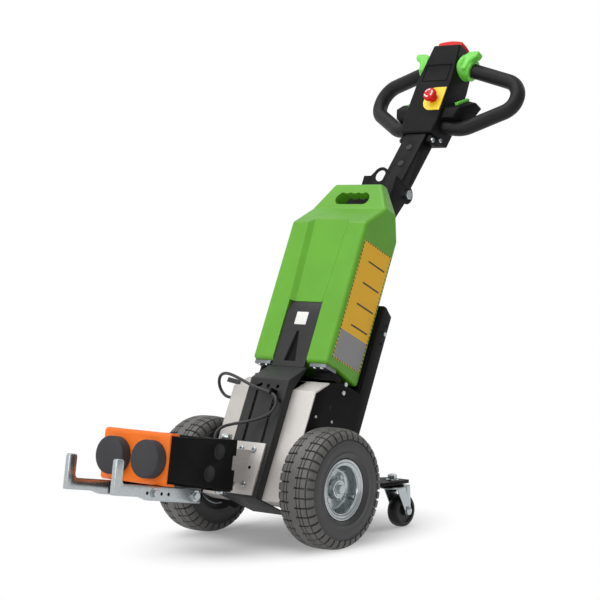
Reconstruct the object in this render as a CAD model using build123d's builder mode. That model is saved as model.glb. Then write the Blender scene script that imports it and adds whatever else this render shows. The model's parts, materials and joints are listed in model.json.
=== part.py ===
"""Walk-behind electric tow tractor: leaning chassis, lift-out battery, tiller and swinging hitch.

The machine faces its hitch along -Y, with the handle at +Y, and stands on Z = 0.
Sizes are in millimetres and degrees.
"""

import os
from math import cos, radians, sin, sqrt, tan

from build123d import *

# Fits and sheet thicknesses
RUNNING_FIT = 0.05
SEAT_GAP = 0.3
SHEET = 3
PLATE = 5

# Drive wheels
TYRE_DIAMETER = 260
TYRE_WIDTH = 92
WHEEL_TRACK = 361
BEAD_RADIUS = 52
SIDEWALL_RISE = 25
SHOULDER_DROP = 14
SHOULDER_INSET = 4
CROWN_WIDTH = 48
LUG_COUNT = 38
LUG_GAP = 6
LUG_DEPTH = 7
LUG_INSET = 3
RIM_LIP_RADIUS = 66
RIM_WIDTH = 76
RIM_WALL = 3
RIM_LIP_WIDTH = 13
RIM_LIP_SLOPE = 4
DISC_OUT = 7
DISC_RADIUS = 44
DISC_CONE = 8
HUB_RADIUS = 20
HUB_OUT = 26
HUB_IN = 39
SHAFT_RADIUS = 10
SHAFT_IN_HOUSING = 40
SHAFT_END_PROUD = 6
AXLE_HOUSING_RADIUS = 21
WHEEL_TO_HOUSING = 4

# Lean of the chassis, and the battery's front foot measured from the drive axle
LEAN = 24.5
FOOT_BEHIND_AXLE = 75.6
FOOT_ABOVE_AXLE = 260

# Battery case: places across the lean (back) and along it (up) from the front foot
BATTERY_SIDE_STEP = 10
BATTERY_TOP_WIDTH = 136
BATTERY_DEPTH = 126
BATTERY_TOP_UP = 461
BATTERY_HANDLE_HEIGHT = 67
BATTERY_SLOPE_RISE = 57
BATTERY_STEP_BACK = 53
BATTERY_HANDLE_THICK = 36
BATTERY_HEEL_DROP = 14
BATTERY_TOE_LENGTH = 48
BATTERY_ROUND = 9
GRIP_HOLE_WIDTH = 98
GRIP_HOLE_HEIGHT = 29
GRIP_HOLE_DROP = 41
FINGER_COUNT = 4
FINGER_SPACING = 22
FINGER_RADIUS = 10
FINGER_RISE = 7
PANEL_TOP_WIDTH = 124
PANEL_LOW_WIDTH = 98
PANEL_DEPTH = 9
PANEL_BEVEL = 11

# Battery seat
TONGUE_WIDTH = 94
TONGUE_TOP_UP = 143
TONGUE_BEND_UP = 118
TONGUE_BACK = 2
TONGUE_CLEARANCE = 2
TONGUE_SLOT_TOP_UP = 72
TONGUE_SLOT_WIDTH = 34
TONGUE_POCKET_DEPTH = 8
CONTACT_LENGTH = 40
CONTACT_WIDTH = 46
CONTACT_INSET = 6
CONTACT_THICK = 9
DOCK_BLOCK_THICK = 16
DOCK_FRONT = 30

# Chassis box
WHEEL_TO_BOX = 15.5
SIDE_PLATE_REAR = 36
SIDE_PLATE_TOP_UP = 186
SIDE_PLATE_CHAMFER = 26
COVER_FRONT = 21
COVER_TOP_UP = -74
COVER_RIM_UP = -40
COVER_RIM_BACK = 17
BOX_BOTTOM_UP = -327
BOX_HEEL_BACK = 96
BOX_HEEL_UP = -246
CHANNEL_FRONT = 42
CHANNEL_WIDTH = 110
CHANNEL_TOP_UP = -58
CHANNEL_BEND = 6
CHANNEL_SLOT_LENGTH = 150
CHANNEL_SLOT_WIDTH = 7
CHANNEL_SLOT_SPACING = 54
CHANNEL_SLOT_DROP = 103
CHANNEL_HOLE_DROP = 18
CHANNEL_HOLE_RADIUS = 4.5
KEYHOLE_LENGTH = 20
BELLY_BACK = 86
DRIVE_UNIT_SIDE_GAP = 29
DRIVE_UNIT_DEPTH = 96
DRIVE_UNIT_HEIGHT = 150
DRIVE_UNIT_BACK = 50
DRIVE_UNIT_UP = -236

# Spine with the lifting eye and the tiller's ears
SPINE_WIDTH = 96
SPINE_WALL = 4
SPINE_DEPTH = 34
SPINE_LOW_UP = -50
SPINE_TOP_UP = 513
EYE_RADIUS = 14.5
EYE_LOBE_RADIUS = 22
EYE_FOOT_WIDTH = 56
EYE_NECK_WIDTH = 32
EYE_NECK_RISE = 14
PIVOT_BEHIND_SPINE = 57
PIVOT_UP = 489
EAR_RADIUS = 22
PIVOT_BOLT_RADIUS = 8
PIVOT_HEAD_RADIUS = 12
PIVOT_HEAD_THICK = 8

# Tiller column and head
COLUMN_TILT = 40.5
COLUMN_WIDTH = 60
COLUMN_DEPTH = 40
COLUMN_WALL = 3
COLUMN_TAIL = 30
COLUMN_BOSS_RADIUS = 15
COLUMN_HOLE_RADIUS = 8
COLUMN_HOLE_UP = 82
COLUMN_HOLE_PITCH = 51
HEAD_UP_COLUMN = 176
HEAD_PROUD = 5
HEAD_TILT = 30.5
HEAD_LENGTH = 252
HEAD_DEPTH = 74
HEAD_TOP_WIDTH = 78
HEAD_WAIST_WIDTH = 102
HEAD_FOOT_WIDTH = 93
HEAD_FOOT_UP = 33
HEAD_SHOULDER_BACK = 12
HEAD_SHOULDER_LOW_WIDTH = 168
HEAD_SHOULDER_LOW_UP = 48
HEAD_SHOULDER_WIDTH = 188
HEAD_SHOULDER_UP = 75
HEAD_WING_WIDTH = 220
HEAD_WING_UP = 109
HEAD_TAPER_LENGTH = 100
HEAD_ROUND = 5
HEAD_CROWN_RADIUS = 46
NAME_RECESS_WIDTH = 73
NAME_RECESS_HEIGHT = 46
NAME_RECESS_DEPTH = 1.5
NAME_RECESS_DROP = 82
BELLY_SWITCH_THICK = 12
BELLY_SWITCH_WIDTH = 74
BELLY_SWITCH_FRONT = 12
BELLY_SWITCH_ROUND = 4
CLAMP_WIDTH = 92
CLAMP_FRONT = 9
CLAMP_BACK = 58
CLAMP_DROP = 21
CLAMP_REAR_DROP = 6

# Handle loops, drawn in a plane parallel to the head's face and swept back towards the operator
LOOP_TUBE_RADIUS = 18
LOOP_SET_BACK = 38
LOOP_SWEEP = 12
LOOP_ROOT = 40
LOOP_TOP_DROP = 41
LOOP_TOP_OUT = (208, 171)
LOOP_LOW_OUT = (205, 106)
LOOP_LOW_IN = (97, 37)
LOOP_BEND_RADIUS = 45
LOOP_LOW_BEND_RADIUS = 60

# Hand controls
LEVER_HUB_RADIUS = 35
LEVER_HUB_LENGTH = 34
LEVER_HUB_TAPER = 16
LEVER_PADDLE_FRONT = 12
LEVER_PADDLE_DEPTH = 22
LEVER_PADDLE_ROUND = 3
LEVER_PADDLE = [  # out from the middle, up from the loop's root
    (47, -25),
    (50, 5),
    (58, 26),
    (88, 26),
    (93, 17),
    (91, 6),
    (76, -3),
    (66, -25),
]
THUMB_BUTTON_WIDTH = 11
THUMB_BUTTON_LENGTH = 50
THUMB_BUTTON_HEIGHT = 7
THUMB_BUTTON_OUT = 70
THUMB_BUTTON_BACK = 46
STOP_PLATE_WIDTH = 54
STOP_PLATE_HEIGHT = 64
STOP_PLATE_ROUND = 26
STOP_PLATE_UP = 94
STOP_PLATE_OUT = 20
STOP_PLATE_THICK = 2
STOP_BUTTON_RADIUS = 17
STOP_BUTTON_HEIGHT = 24
STOP_STEM_RADIUS = 11

# Casters
CASTER_TRACK = 250
CASTER_BEHIND_AXLE = 292
CASTER_TRAIL = 33
CASTER_WHEEL_DIAMETER = 75
CASTER_WHEEL_WIDTH = 30
CASTER_WHEEL_BEVEL = 7
CASTER_LEG_GAP = 2.5
CASTER_LEG_THICK = 3
CASTER_LEG_FOOT_RADIUS = 10
CASTER_LEG_OVERHANG = 7.5
CASTER_HEIGHT = 103
CASTER_CROWN_RADIUS = 29
CASTER_CROWN_THICK = 4
CASTER_RACE_RADIUS = 27
CASTER_RACE_THICK = 6
CASTER_STEM_RADIUS = 6
CASTER_STEM_HEAD_RADIUS = 9.5
CASTER_STEM_HEAD_THICK = 8
CASTER_AXLE_RADIUS = 5
CASTER_AXLE_HEAD = 4
BEAM_THICK = 8
BEAM_END_MARGIN = 27
BEAM_FRONT_BEHIND_AXLE = 62
BEAM_TAPER_START = 132
BEAM_ARM_WIDTH = 62
BEAM_REAR_CUT = 78

# Hitch: places ahead of the pin and above the arm's middle line, pitched nose up
HITCH_PITCH = 9
PIN_AHEAD_OF_AXLE = 140
PIN_ABOVE_AXLE = 50
PIN_RADIUS = 8
PIN_HEAD_RADIUS = 13
PIN_HEAD_THICK = 11
PIN_NUT_THICK = 9
ARM_WIDTH = 186
ARM_REAR = 67
ARM_FRONT = 266
ARM_TOP_REAR = 56
ARM_TOP_FRONT = 49
ARM_LOW_REAR = -51
ARM_LOW_FRONT = -41
ARM_NOTCH_LOW = -8
ARM_NOTCH_HEIGHT = 30
ARM_NOTCH_DEPTH = 9
ARM_DIMPLES = [(120, 28), (144, -19)]  # ahead of the pin, above the middle line
ARM_DIMPLE_RADIUS = 15
ARM_DIMPLE_DEPTH = 1.5
ARM_LUG_RADIUS = 21
ARM_LUG_THICK = 8
ARM_LUG_ABOVE = 46
KNUCKLE_RADIUS = 19
KNUCKLE_HALF_HEIGHT = 36
BRACKET_WIDTH = 90
BRACKET_LOW_UP = -325
BRACKET_TOP_UP = -208
BRACKET_THICK = 6
BRACKET_NECK_WIDTH = 22
HEAD_PLATE_FLANGE = 22
HEAD_PLATE_BEND = 9
BUFFER_RADIUS = 39
BUFFER_THICK = 25
BUFFER_SPACING = 101
HOOK_BAR_OUT = 61
HOOK_BAR_THICK = 12
HOOK_BAR_HEIGHT = 30
HOOK_BAR_REAR = 140
HOOK_BAR_DROP = 1
HOOK_FRONT = 393
HOOK_NOSE_HEIGHT = 24
HOOK_NOSE_REAR = 318
HOOK_PRONG_WIDTH = 22
HOOK_PRONG_TOP = -4
HOOK_TIP_ROUND = 6
HOOK_CORNER_ROUND = 9
RAIL_THICK = 10
RAIL_REAR = 122
RAIL_ROUND = 12

# Cable from the cover to the hitch bracket, as (across, back, up) from the battery's front foot
CABLE_DIAMETER = 7
GLAND_RADIUS = 8
CABLE_ROUTE = [
    (-36, -63, -246),
    (-36, -82, -246),
    (-44, -99, -239),
    (-51, -108, -219),
    (-49, -100, -197),
    (-37, -80, -181),
    (-17, -66, -171),
    (8, -59, -160),
    (32, -57, -150),
    (47, -56, -135),
    (50, -56, -114),
    (36, -56, -98),
    (10, -56, -92),
    (-30, -57, -84),
    (-80, -58, -67),
    (-118, -54, -57),
    (-142, -47, -59),
    (-153, -37, -70),
    (-154, -26, -84),
    (-147, -17, -95),
    (-135, -13, -101),
    (-119, -12, -101),
]

CABLE_RUN_SHARE = 0.45

SIDES = (("left", -1), ("right", 1))
AXLE_Z = TYRE_DIAMETER / 2
CHASSIS_WIDTH = WHEEL_TRACK - TYRE_WIDTH - 2 * WHEEL_TO_BOX
BATTERY_WIDTH = CHASSIS_WIDTH - 2 * BATTERY_SIDE_STEP
BATTERY_STEP_UP = BATTERY_TOP_UP - BATTERY_HANDLE_HEIGHT
BATTERY_SHOULDER_UP = BATTERY_STEP_UP - BATTERY_SLOPE_RISE
LOOP_TOP_UP = HEAD_LENGTH - LOOP_TOP_DROP
ACROSS = Vector(1, 0, 0)

pieces = {}


def keep(builder, name):
    """Label a finished piece and hold it until the origin is known."""
    builder.part.label = name
    pieces[name] = builder.part


def tilted(angle):
    """Directions up along a line that leans back by the angle, and back across it."""
    up = Vector(0, sin(radians(angle)), cos(radians(angle)))
    back = Vector(0, cos(radians(angle)), -sin(radians(angle)))
    return up, back


# Frames: the leaning chassis, the tiller column, the tiller head and the pitched hitch
lean_up, lean_back = tilted(LEAN)
foot = Vector(0, FOOT_BEHIND_AXLE, AXLE_Z + FOOT_ABOVE_AXLE)
lean_side = Plane(origin=foot, x_dir=lean_back, z_dir=ACROSS)
lean_front = Plane(origin=foot, x_dir=ACROSS, z_dir=-lean_back)
axle_back = FOOT_ABOVE_AXLE * sin(radians(LEAN)) - FOOT_BEHIND_AXLE * cos(radians(LEAN))
axle_up = -FOOT_ABOVE_AXLE * cos(radians(LEAN)) - FOOT_BEHIND_AXLE * sin(radians(LEAN))

spine_front = BATTERY_DEPTH + SHEET
pivot_back = spine_front + PIVOT_BEHIND_SPINE
pivot = foot + lean_back * pivot_back + lean_up * PIVOT_UP
column_up, column_back = tilted(COLUMN_TILT)
column_side = Plane(origin=pivot, x_dir=column_back, z_dir=ACROSS)
head_up, head_back = tilted(HEAD_TILT)
head_foot = pivot + column_up * HEAD_UP_COLUMN - column_back * (COLUMN_DEPTH / 2 + HEAD_PROUD)
head_side = Plane(origin=head_foot, x_dir=head_back, z_dir=ACROSS)
head_front = Plane(origin=head_foot, x_dir=ACROSS, z_dir=-head_back)

pin_up, pin_back = tilted(HITCH_PITCH)
pin = Vector(0, -PIN_AHEAD_OF_AXLE, AXLE_Z + PIN_ABOVE_AXLE)
hitch_side = Plane(origin=pin, x_dir=-pin_back, z_dir=-ACROSS)
hitch_top = Plane(origin=pin, x_dir=-pin_back, z_dir=pin_up)
hitch_front = Plane(origin=pin, x_dir=ACROSS, z_dir=-pin_back)


# Battery case
battery_half = BATTERY_WIDTH / 2
handle_back = BATTERY_STEP_BACK + BATTERY_HANDLE_THICK
shoulder_rear_up = BATTERY_SHOULDER_UP + BATTERY_ROUND / 2
with BuildPart() as battery_case:
    with BuildSketch(lean_side):
        with BuildLine():
            Polyline(
                (0, 0),
                (0, BATTERY_SHOULDER_UP),
                (BATTERY_STEP_BACK, BATTERY_STEP_UP),
                (BATTERY_STEP_BACK + BATTERY_ROUND, BATTERY_TOP_UP),
                (handle_back, BATTERY_TOP_UP),
                (handle_back + BATTERY_ROUND, BATTERY_STEP_UP),
                (BATTERY_DEPTH, shoulder_rear_up),
                (BATTERY_DEPTH, -BATTERY_HEEL_DROP),
                (BATTERY_TOE_LENGTH, 0),
                close=True,
            )
        make_face()
    extrude(amount=battery_half, both=True)
    with BuildSketch(lean_front):
        with BuildLine():
            Polyline(
                (-battery_half, -BATTERY_HEEL_DROP),
                (-battery_half, BATTERY_STEP_UP),
                (-BATTERY_TOP_WIDTH / 2, BATTERY_TOP_UP),
                (BATTERY_TOP_WIDTH / 2, BATTERY_TOP_UP),
                (battery_half, BATTERY_STEP_UP),
                (battery_half, -BATTERY_HEEL_DROP),
                close=True,
            )
        make_face()
    extrude(amount=-BATTERY_DEPTH, mode=Mode.INTERSECT)
    fillet(battery_case.edges(), radius=BATTERY_ROUND)
    with BuildSketch(lean_front):
        with Locations((0, BATTERY_TOP_UP - GRIP_HOLE_DROP)):
            SlotOverall(GRIP_HOLE_WIDTH, GRIP_HOLE_HEIGHT)
        with Locations((0, BATTERY_TOP_UP - GRIP_HOLE_DROP + FINGER_RISE)):
            with GridLocations(FINGER_SPACING, 1, FINGER_COUNT, 1):
                Circle(FINGER_RADIUS)
    extrude(amount=-BATTERY_DEPTH, mode=Mode.SUBTRACT)
    with BuildSketch(lean_front):
        with Locations((0, (TONGUE_TOP_UP + TONGUE_CLEARANCE - BATTERY_HEEL_DROP) / 2)):
            slot_height = TONGUE_TOP_UP + TONGUE_CLEARANCE + BATTERY_HEEL_DROP
            Rectangle(TONGUE_WIDTH + 2 * TONGUE_CLEARANCE, slot_height)
    extrude(amount=-(TONGUE_BACK + PLATE + PANEL_DEPTH), mode=Mode.SUBTRACT)
    for depth, bevel in ((-PANEL_DEPTH, -PANEL_BEVEL), (PANEL_DEPTH, PANEL_BEVEL)):
        with BuildSketch(lean_front.offset(-depth)):
            with BuildLine():
                Polyline(
                    (-PANEL_LOW_WIDTH / 2 + bevel, TONGUE_TOP_UP),
                    (-PANEL_TOP_WIDTH / 2 + bevel, BATTERY_STEP_UP),
                    (PANEL_TOP_WIDTH / 2 - bevel, BATTERY_STEP_UP),
                    (PANEL_LOW_WIDTH / 2 - bevel, TONGUE_TOP_UP),
                    close=True,
                )
            make_face()
    loft(mode=Mode.SUBTRACT)
keep(battery_case, "battery_case")

# Contact plates under the battery's two legs, and the dock blocks that carry them
contact_out = battery_half - CONTACT_INSET - CONTACT_WIDTH / 2
with BuildPart() as battery_contacts:
    with BuildSketch(Plane(origin=foot, x_dir=ACROSS, z_dir=-lean_up)):
        with Locations(*[(sign * contact_out, -CONTACT_INSET - CONTACT_LENGTH / 2) for _, sign in SIDES]):
            Rectangle(CONTACT_WIDTH, CONTACT_LENGTH)
    extrude(amount=CONTACT_THICK)
keep(battery_contacts, "battery_contacts")

with BuildPart() as dock_blocks:
    with BuildSketch(Plane(origin=foot - lean_up * CONTACT_THICK, x_dir=ACROSS, z_dir=-lean_up)):
        with Locations(*[(sign * contact_out, -DOCK_FRONT - CONTACT_LENGTH / 2) for _, sign in SIDES]):
            Rectangle(CONTACT_WIDTH, CONTACT_LENGTH)
    extrude(amount=DOCK_BLOCK_THICK)
keep(dock_blocks, "dock_blocks")

# Dock floor between the side plates
inner_half = CHASSIS_WIDTH / 2 - PLATE
dock_floor_top = -CONTACT_THICK - DOCK_BLOCK_THICK
with BuildPart() as dock_floor:
    with BuildSketch(lean_side):
        with BuildLine():
            Polyline(
                (DOCK_FRONT, dock_floor_top),
                (BATTERY_DEPTH, dock_floor_top),
                (BATTERY_DEPTH, dock_floor_top - PLATE),
                (DOCK_FRONT, dock_floor_top - PLATE),
                close=True,
            )
        make_face()
    extrude(amount=inner_half, both=True)
keep(dock_floor, "dock_floor")

# Back plate behind the battery
with BuildPart() as back_plate:
    with BuildSketch(lean_front.offset(-BATTERY_DEPTH)):
        with Locations((0, (SIDE_PLATE_TOP_UP + BOX_HEEL_UP) / 2)):
            Rectangle(2 * inner_half, SIDE_PLATE_TOP_UP - BOX_HEEL_UP)
    extrude(amount=-SHEET)
keep(back_plate, "back_plate")

# Tongue that stands in the slot between the battery's legs
channel_half = CHANNEL_WIDTH / 2
tongue_foot_up = CHANNEL_TOP_UP + CHANNEL_FRONT + TONGUE_BACK
with BuildPart() as dock_tongue:
    with BuildSketch(lean_side):
        with BuildLine():
            Polyline(
                (TONGUE_BACK, tongue_foot_up),
                (TONGUE_BACK, TONGUE_BEND_UP),
                (TONGUE_BACK + PLATE, TONGUE_TOP_UP),
                (TONGUE_BACK + PLATE + SHEET, TONGUE_TOP_UP),
                (TONGUE_BACK + SHEET, TONGUE_BEND_UP),
                (TONGUE_BACK + SHEET, tongue_foot_up),
                close=True,
            )
        make_face()
    extrude(amount=TONGUE_WIDTH / 2, both=True)
    pocket_back = TONGUE_BACK + SHEET + TONGUE_POCKET_DEPTH
    for wall, depth, way in ((SHEET, pocket_back, Mode.ADD), (0, pocket_back - SHEET, Mode.SUBTRACT)):
        with BuildSketch(lean_front.offset(-TONGUE_BACK - wall)):
            with BuildLine():
                Polyline(
                    (-TONGUE_SLOT_WIDTH / 2 - wall, -wall),
                    (-SHEET - wall, TONGUE_SLOT_TOP_UP + wall),
                    (SHEET + wall, TONGUE_SLOT_TOP_UP + wall),
                    (TONGUE_SLOT_WIDTH / 2 + wall, -wall),
                    close=True,
                )
            make_face()
        extrude(amount=-(depth - TONGUE_BACK - wall), mode=way)
keep(dock_tongue, "dock_tongue")

# Front channel: sloped top, slotted face, side flanges and the fold under the belly
with BuildPart() as front_channel:
    with BuildSketch(lean_side):
        with BuildLine():
            Polyline(
                (TONGUE_BACK, tongue_foot_up),
                (-CHANNEL_FRONT, CHANNEL_TOP_UP),
                (-CHANNEL_FRONT, BOX_BOTTOM_UP - SHEET),
                (BELLY_BACK, BOX_BOTTOM_UP - SHEET),
                (BELLY_BACK, BOX_BOTTOM_UP),
                (-COVER_FRONT, BOX_BOTTOM_UP),
                (-COVER_FRONT, COVER_TOP_UP),
                (TONGUE_BACK + SHEET, tongue_foot_up - SHEET),
                (TONGUE_BACK + SHEET, tongue_foot_up),
                close=True,
            )
        make_face()
    extrude(amount=channel_half, both=True)
    with BuildSketch(lean_side):
        with BuildLine():
            Polyline(
                (-CHANNEL_FRONT + SHEET, CHANNEL_TOP_UP - SHEET),
                (-CHANNEL_FRONT + SHEET, BOX_BOTTOM_UP),
                (-COVER_FRONT, BOX_BOTTOM_UP),
                (-COVER_FRONT, COVER_TOP_UP),
                close=True,
            )
        make_face()
    extrude(amount=channel_half - SHEET, both=True, mode=Mode.SUBTRACT)
    bends = front_channel.edges().filter_by(Axis.X).group_by(Axis(foot, -lean_back))[-1]
    fillet(bends, radius=CHANNEL_BEND)
    hole_up = CHANNEL_TOP_UP - CHANNEL_HOLE_DROP
    with BuildSketch(lean_front):
        with Locations((0, CHANNEL_TOP_UP - CHANNEL_SLOT_DROP)):
            with GridLocations(CHANNEL_SLOT_SPACING, 1, 2, 1):
                SlotOverall(CHANNEL_SLOT_LENGTH, CHANNEL_SLOT_WIDTH, rotation=90)
        with Locations((-CHANNEL_SLOT_SPACING / 2, hole_up)):
            SlotOverall(KEYHOLE_LENGTH, CHANNEL_SLOT_WIDTH, rotation=LEAN)
        with Locations((0, hole_up), (CHANNEL_SLOT_SPACING / 2, hole_up)):
            Circle(CHANNEL_HOLE_RADIUS)
    extrude(amount=CHANNEL_FRONT, mode=Mode.SUBTRACT)
keep(front_channel, "front_channel")

# Stainless cover folded over the front of the box
cover_half = CHASSIS_WIDTH / 2
with BuildPart() as motor_cover:
    with BuildSketch(lean_side):
        with BuildLine():
            Polyline(
                (COVER_RIM_BACK, COVER_RIM_UP),
                (-COVER_FRONT, COVER_TOP_UP),
                (-COVER_FRONT, BOX_BOTTOM_UP),
                (COVER_RIM_BACK, BOX_BOTTOM_UP),
                (COVER_RIM_BACK, BOX_BOTTOM_UP + SHEET),
                (-COVER_FRONT + SHEET, BOX_BOTTOM_UP + SHEET),
                (-COVER_FRONT + SHEET, COVER_TOP_UP - SHEET),
                (COVER_RIM_BACK, COVER_RIM_UP - SHEET * sqrt(2)),
                close=True,
            )
        make_face()
    extrude(amount=cover_half, both=True)
    with BuildSketch(lean_front):
        with Locations((0, CHANNEL_TOP_UP)):
            Rectangle(CHANNEL_WIDTH, -2 * (COVER_TOP_UP - CHANNEL_TOP_UP))
    extrude(amount=COVER_FRONT, both=True, mode=Mode.SUBTRACT)
keep(motor_cover, "motor_cover")

# Side plates with the strips that flank the battery's back
rear_edge = BATTERY_DEPTH + SIDE_PLATE_REAR
plate_front = -COVER_FRONT + SHEET
for side, sign in SIDES:
    with BuildPart() as side_plate:
        with BuildSketch(lean_side.offset(sign * inner_half)):
            with BuildLine():
                Polyline(
                    (plate_front, BOX_BOTTOM_UP + SHEET),
                    (plate_front, COVER_TOP_UP - SHEET),
                    (COVER_RIM_BACK, COVER_RIM_UP - SHEET * sqrt(2)),
                    (COVER_RIM_BACK, COVER_RIM_UP),
                    (BATTERY_DEPTH / 2, dock_floor_top),
                    (BATTERY_DEPTH, dock_floor_top),
                    (BATTERY_DEPTH, SIDE_PLATE_TOP_UP),
                    (rear_edge - SIDE_PLATE_CHAMFER, SIDE_PLATE_TOP_UP),
                    (rear_edge, SIDE_PLATE_TOP_UP - SIDE_PLATE_CHAMFER / 2),
                    (rear_edge, BOX_HEEL_UP),
                    (BOX_HEEL_BACK, BOX_BOTTOM_UP),
                    (COVER_RIM_BACK, BOX_BOTTOM_UP),
                    (COVER_RIM_BACK, BOX_BOTTOM_UP + SHEET),
                    close=True,
                )
            make_face()
            with Locations((axle_back, axle_up)):
                Circle(AXLE_HOUSING_RADIUS, mode=Mode.SUBTRACT)
        extrude(amount=sign * PLATE)
    keep(side_plate, f"side_plate_{side}")

# Motor and gearbox as one block, carried on the axle housing
wheel_inner = WHEEL_TRACK / 2 - TYRE_WIDTH / 2
housing_half = wheel_inner - WHEEL_TO_HOUSING
with BuildPart() as drive_unit:
    with BuildSketch(lean_side):
        with Locations((DRIVE_UNIT_BACK, DRIVE_UNIT_UP)):
            RectangleRounded(DRIVE_UNIT_DEPTH, DRIVE_UNIT_HEIGHT, PLATE)
        with Locations((axle_back, axle_up)):
            Circle(AXLE_HOUSING_RADIUS, mode=Mode.SUBTRACT)
    extrude(amount=inner_half - DRIVE_UNIT_SIDE_GAP, both=True)
keep(drive_unit, "drive_unit")

axle_side = Plane(origin=(0, 0, AXLE_Z), x_dir=(0, 1, 0), z_dir=ACROSS)
with BuildPart() as axle_housing:
    with BuildSketch(axle_side):
        Circle(AXLE_HOUSING_RADIUS)
    extrude(amount=housing_half, both=True)
    for _, sign in SIDES:
        with BuildSketch(axle_side.offset(sign * housing_half)):
            Circle(SHAFT_RADIUS + RUNNING_FIT)
        extrude(amount=-sign * (SHAFT_IN_HOUSING + SHEET), mode=Mode.SUBTRACT)
keep(axle_housing, "axle_housing")

# Drive wheels: tyre with notched shoulders, dished rim with its hub, and the driven shaft
tyre_radius = TYRE_DIAMETER / 2
tyre_half = TYRE_WIDTH / 2
bead_half = RIM_WIDTH / 2 - RIM_WALL
shoulder_half = tyre_half - SHOULDER_INSET
shoulder_radius = tyre_radius - SHOULDER_DROP
lug_inner = CROWN_WIDTH / 2 + LUG_INSET
spin_axis = Axis((0, 0, AXLE_Z), (1, 0, 0))
for side, sign in SIDES:
    wheel_plane = Plane(origin=(sign * WHEEL_TRACK / 2, 0, AXLE_Z), x_dir=(sign, 0, 0), z_dir=(0, -sign, 0))
    with BuildPart() as lug_gap:
        with BuildSketch(wheel_plane):
            with BuildLine():
                Polyline(
                    (lug_inner, tyre_radius + LUG_DEPTH),
                    (lug_inner, tyre_radius - LUG_DEPTH),
                    (tyre_half, shoulder_radius - LUG_DEPTH),
                    (tyre_half + LUG_DEPTH, shoulder_radius - LUG_DEPTH),
                    (tyre_half + LUG_DEPTH, tyre_radius + LUG_DEPTH),
                    close=True,
                )
            make_face()
            mirror(about=Plane.YZ)
        extrude(amount=LUG_GAP / 2, both=True)
    with BuildPart() as tyre:
        with BuildSketch(wheel_plane):
            with BuildLine():
                Polyline(
                    (0, BEAD_RADIUS),
                    (bead_half, BEAD_RADIUS),
                    (bead_half, RIM_LIP_RADIUS),
                    (tyre_half, RIM_LIP_RADIUS + SIDEWALL_RISE),
                    (shoulder_half, shoulder_radius),
                    (CROWN_WIDTH / 2, tyre_radius),
                    (0, tyre_radius),
                    close=True,
                )
            make_face()
            mirror(about=Plane.YZ)
        revolve(axis=spin_axis)
        gaps = [lug_gap.part.rotate(spin_axis, 360 / LUG_COUNT * index) for index in range(LUG_COUNT)]
        add(gaps, mode=Mode.SUBTRACT)
    keep(tyre, f"tyre_{side}")
    rim_bed = BEAD_RADIUS - SEAT_GAP
    with BuildPart() as rim:
        with BuildSketch(wheel_plane):
            with BuildLine():
                Polyline(
                    (-RIM_WIDTH / 2, RIM_LIP_RADIUS),
                    (-bead_half - SEAT_GAP, RIM_LIP_RADIUS),
                    (-bead_half - SEAT_GAP, rim_bed),
                    (bead_half + SEAT_GAP, rim_bed),
                    (bead_half + SEAT_GAP, RIM_LIP_RADIUS),
                    (RIM_WIDTH / 2, RIM_LIP_RADIUS),
                    (RIM_WIDTH / 2, RIM_LIP_RADIUS - RIM_LIP_WIDTH),
                    (RIM_WIDTH / 2 - RIM_LIP_SLOPE, rim_bed - RIM_WALL),
                    (DISC_OUT + DISC_CONE, rim_bed - RIM_WALL),
                    (DISC_OUT, DISC_RADIUS),
                    (DISC_OUT, HUB_RADIUS),
                    (HUB_OUT, HUB_RADIUS),
                    (HUB_OUT, SHAFT_RADIUS),
                    (-HUB_IN, SHAFT_RADIUS),
                    (-HUB_IN, HUB_RADIUS),
                    (DISC_OUT - RIM_WALL, HUB_RADIUS),
                    (DISC_OUT - RIM_WALL, rim_bed - RIM_WALL),
                    (-RIM_WIDTH / 2, rim_bed - RIM_WALL),
                    close=True,
                )
            make_face()
        revolve(axis=spin_axis)
    keep(rim, f"rim_{side}")
    with BuildPart() as drive_shaft:
        with BuildSketch(axle_side.offset(sign * (housing_half - SHAFT_IN_HOUSING))):
            Circle(SHAFT_RADIUS)
        shaft_length = WHEEL_TRACK / 2 + HUB_OUT + SHAFT_END_PROUD - housing_half + SHAFT_IN_HOUSING
        extrude(amount=sign * shaft_length)
    keep(drive_shaft, f"drive_shaft_{side}")

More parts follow.
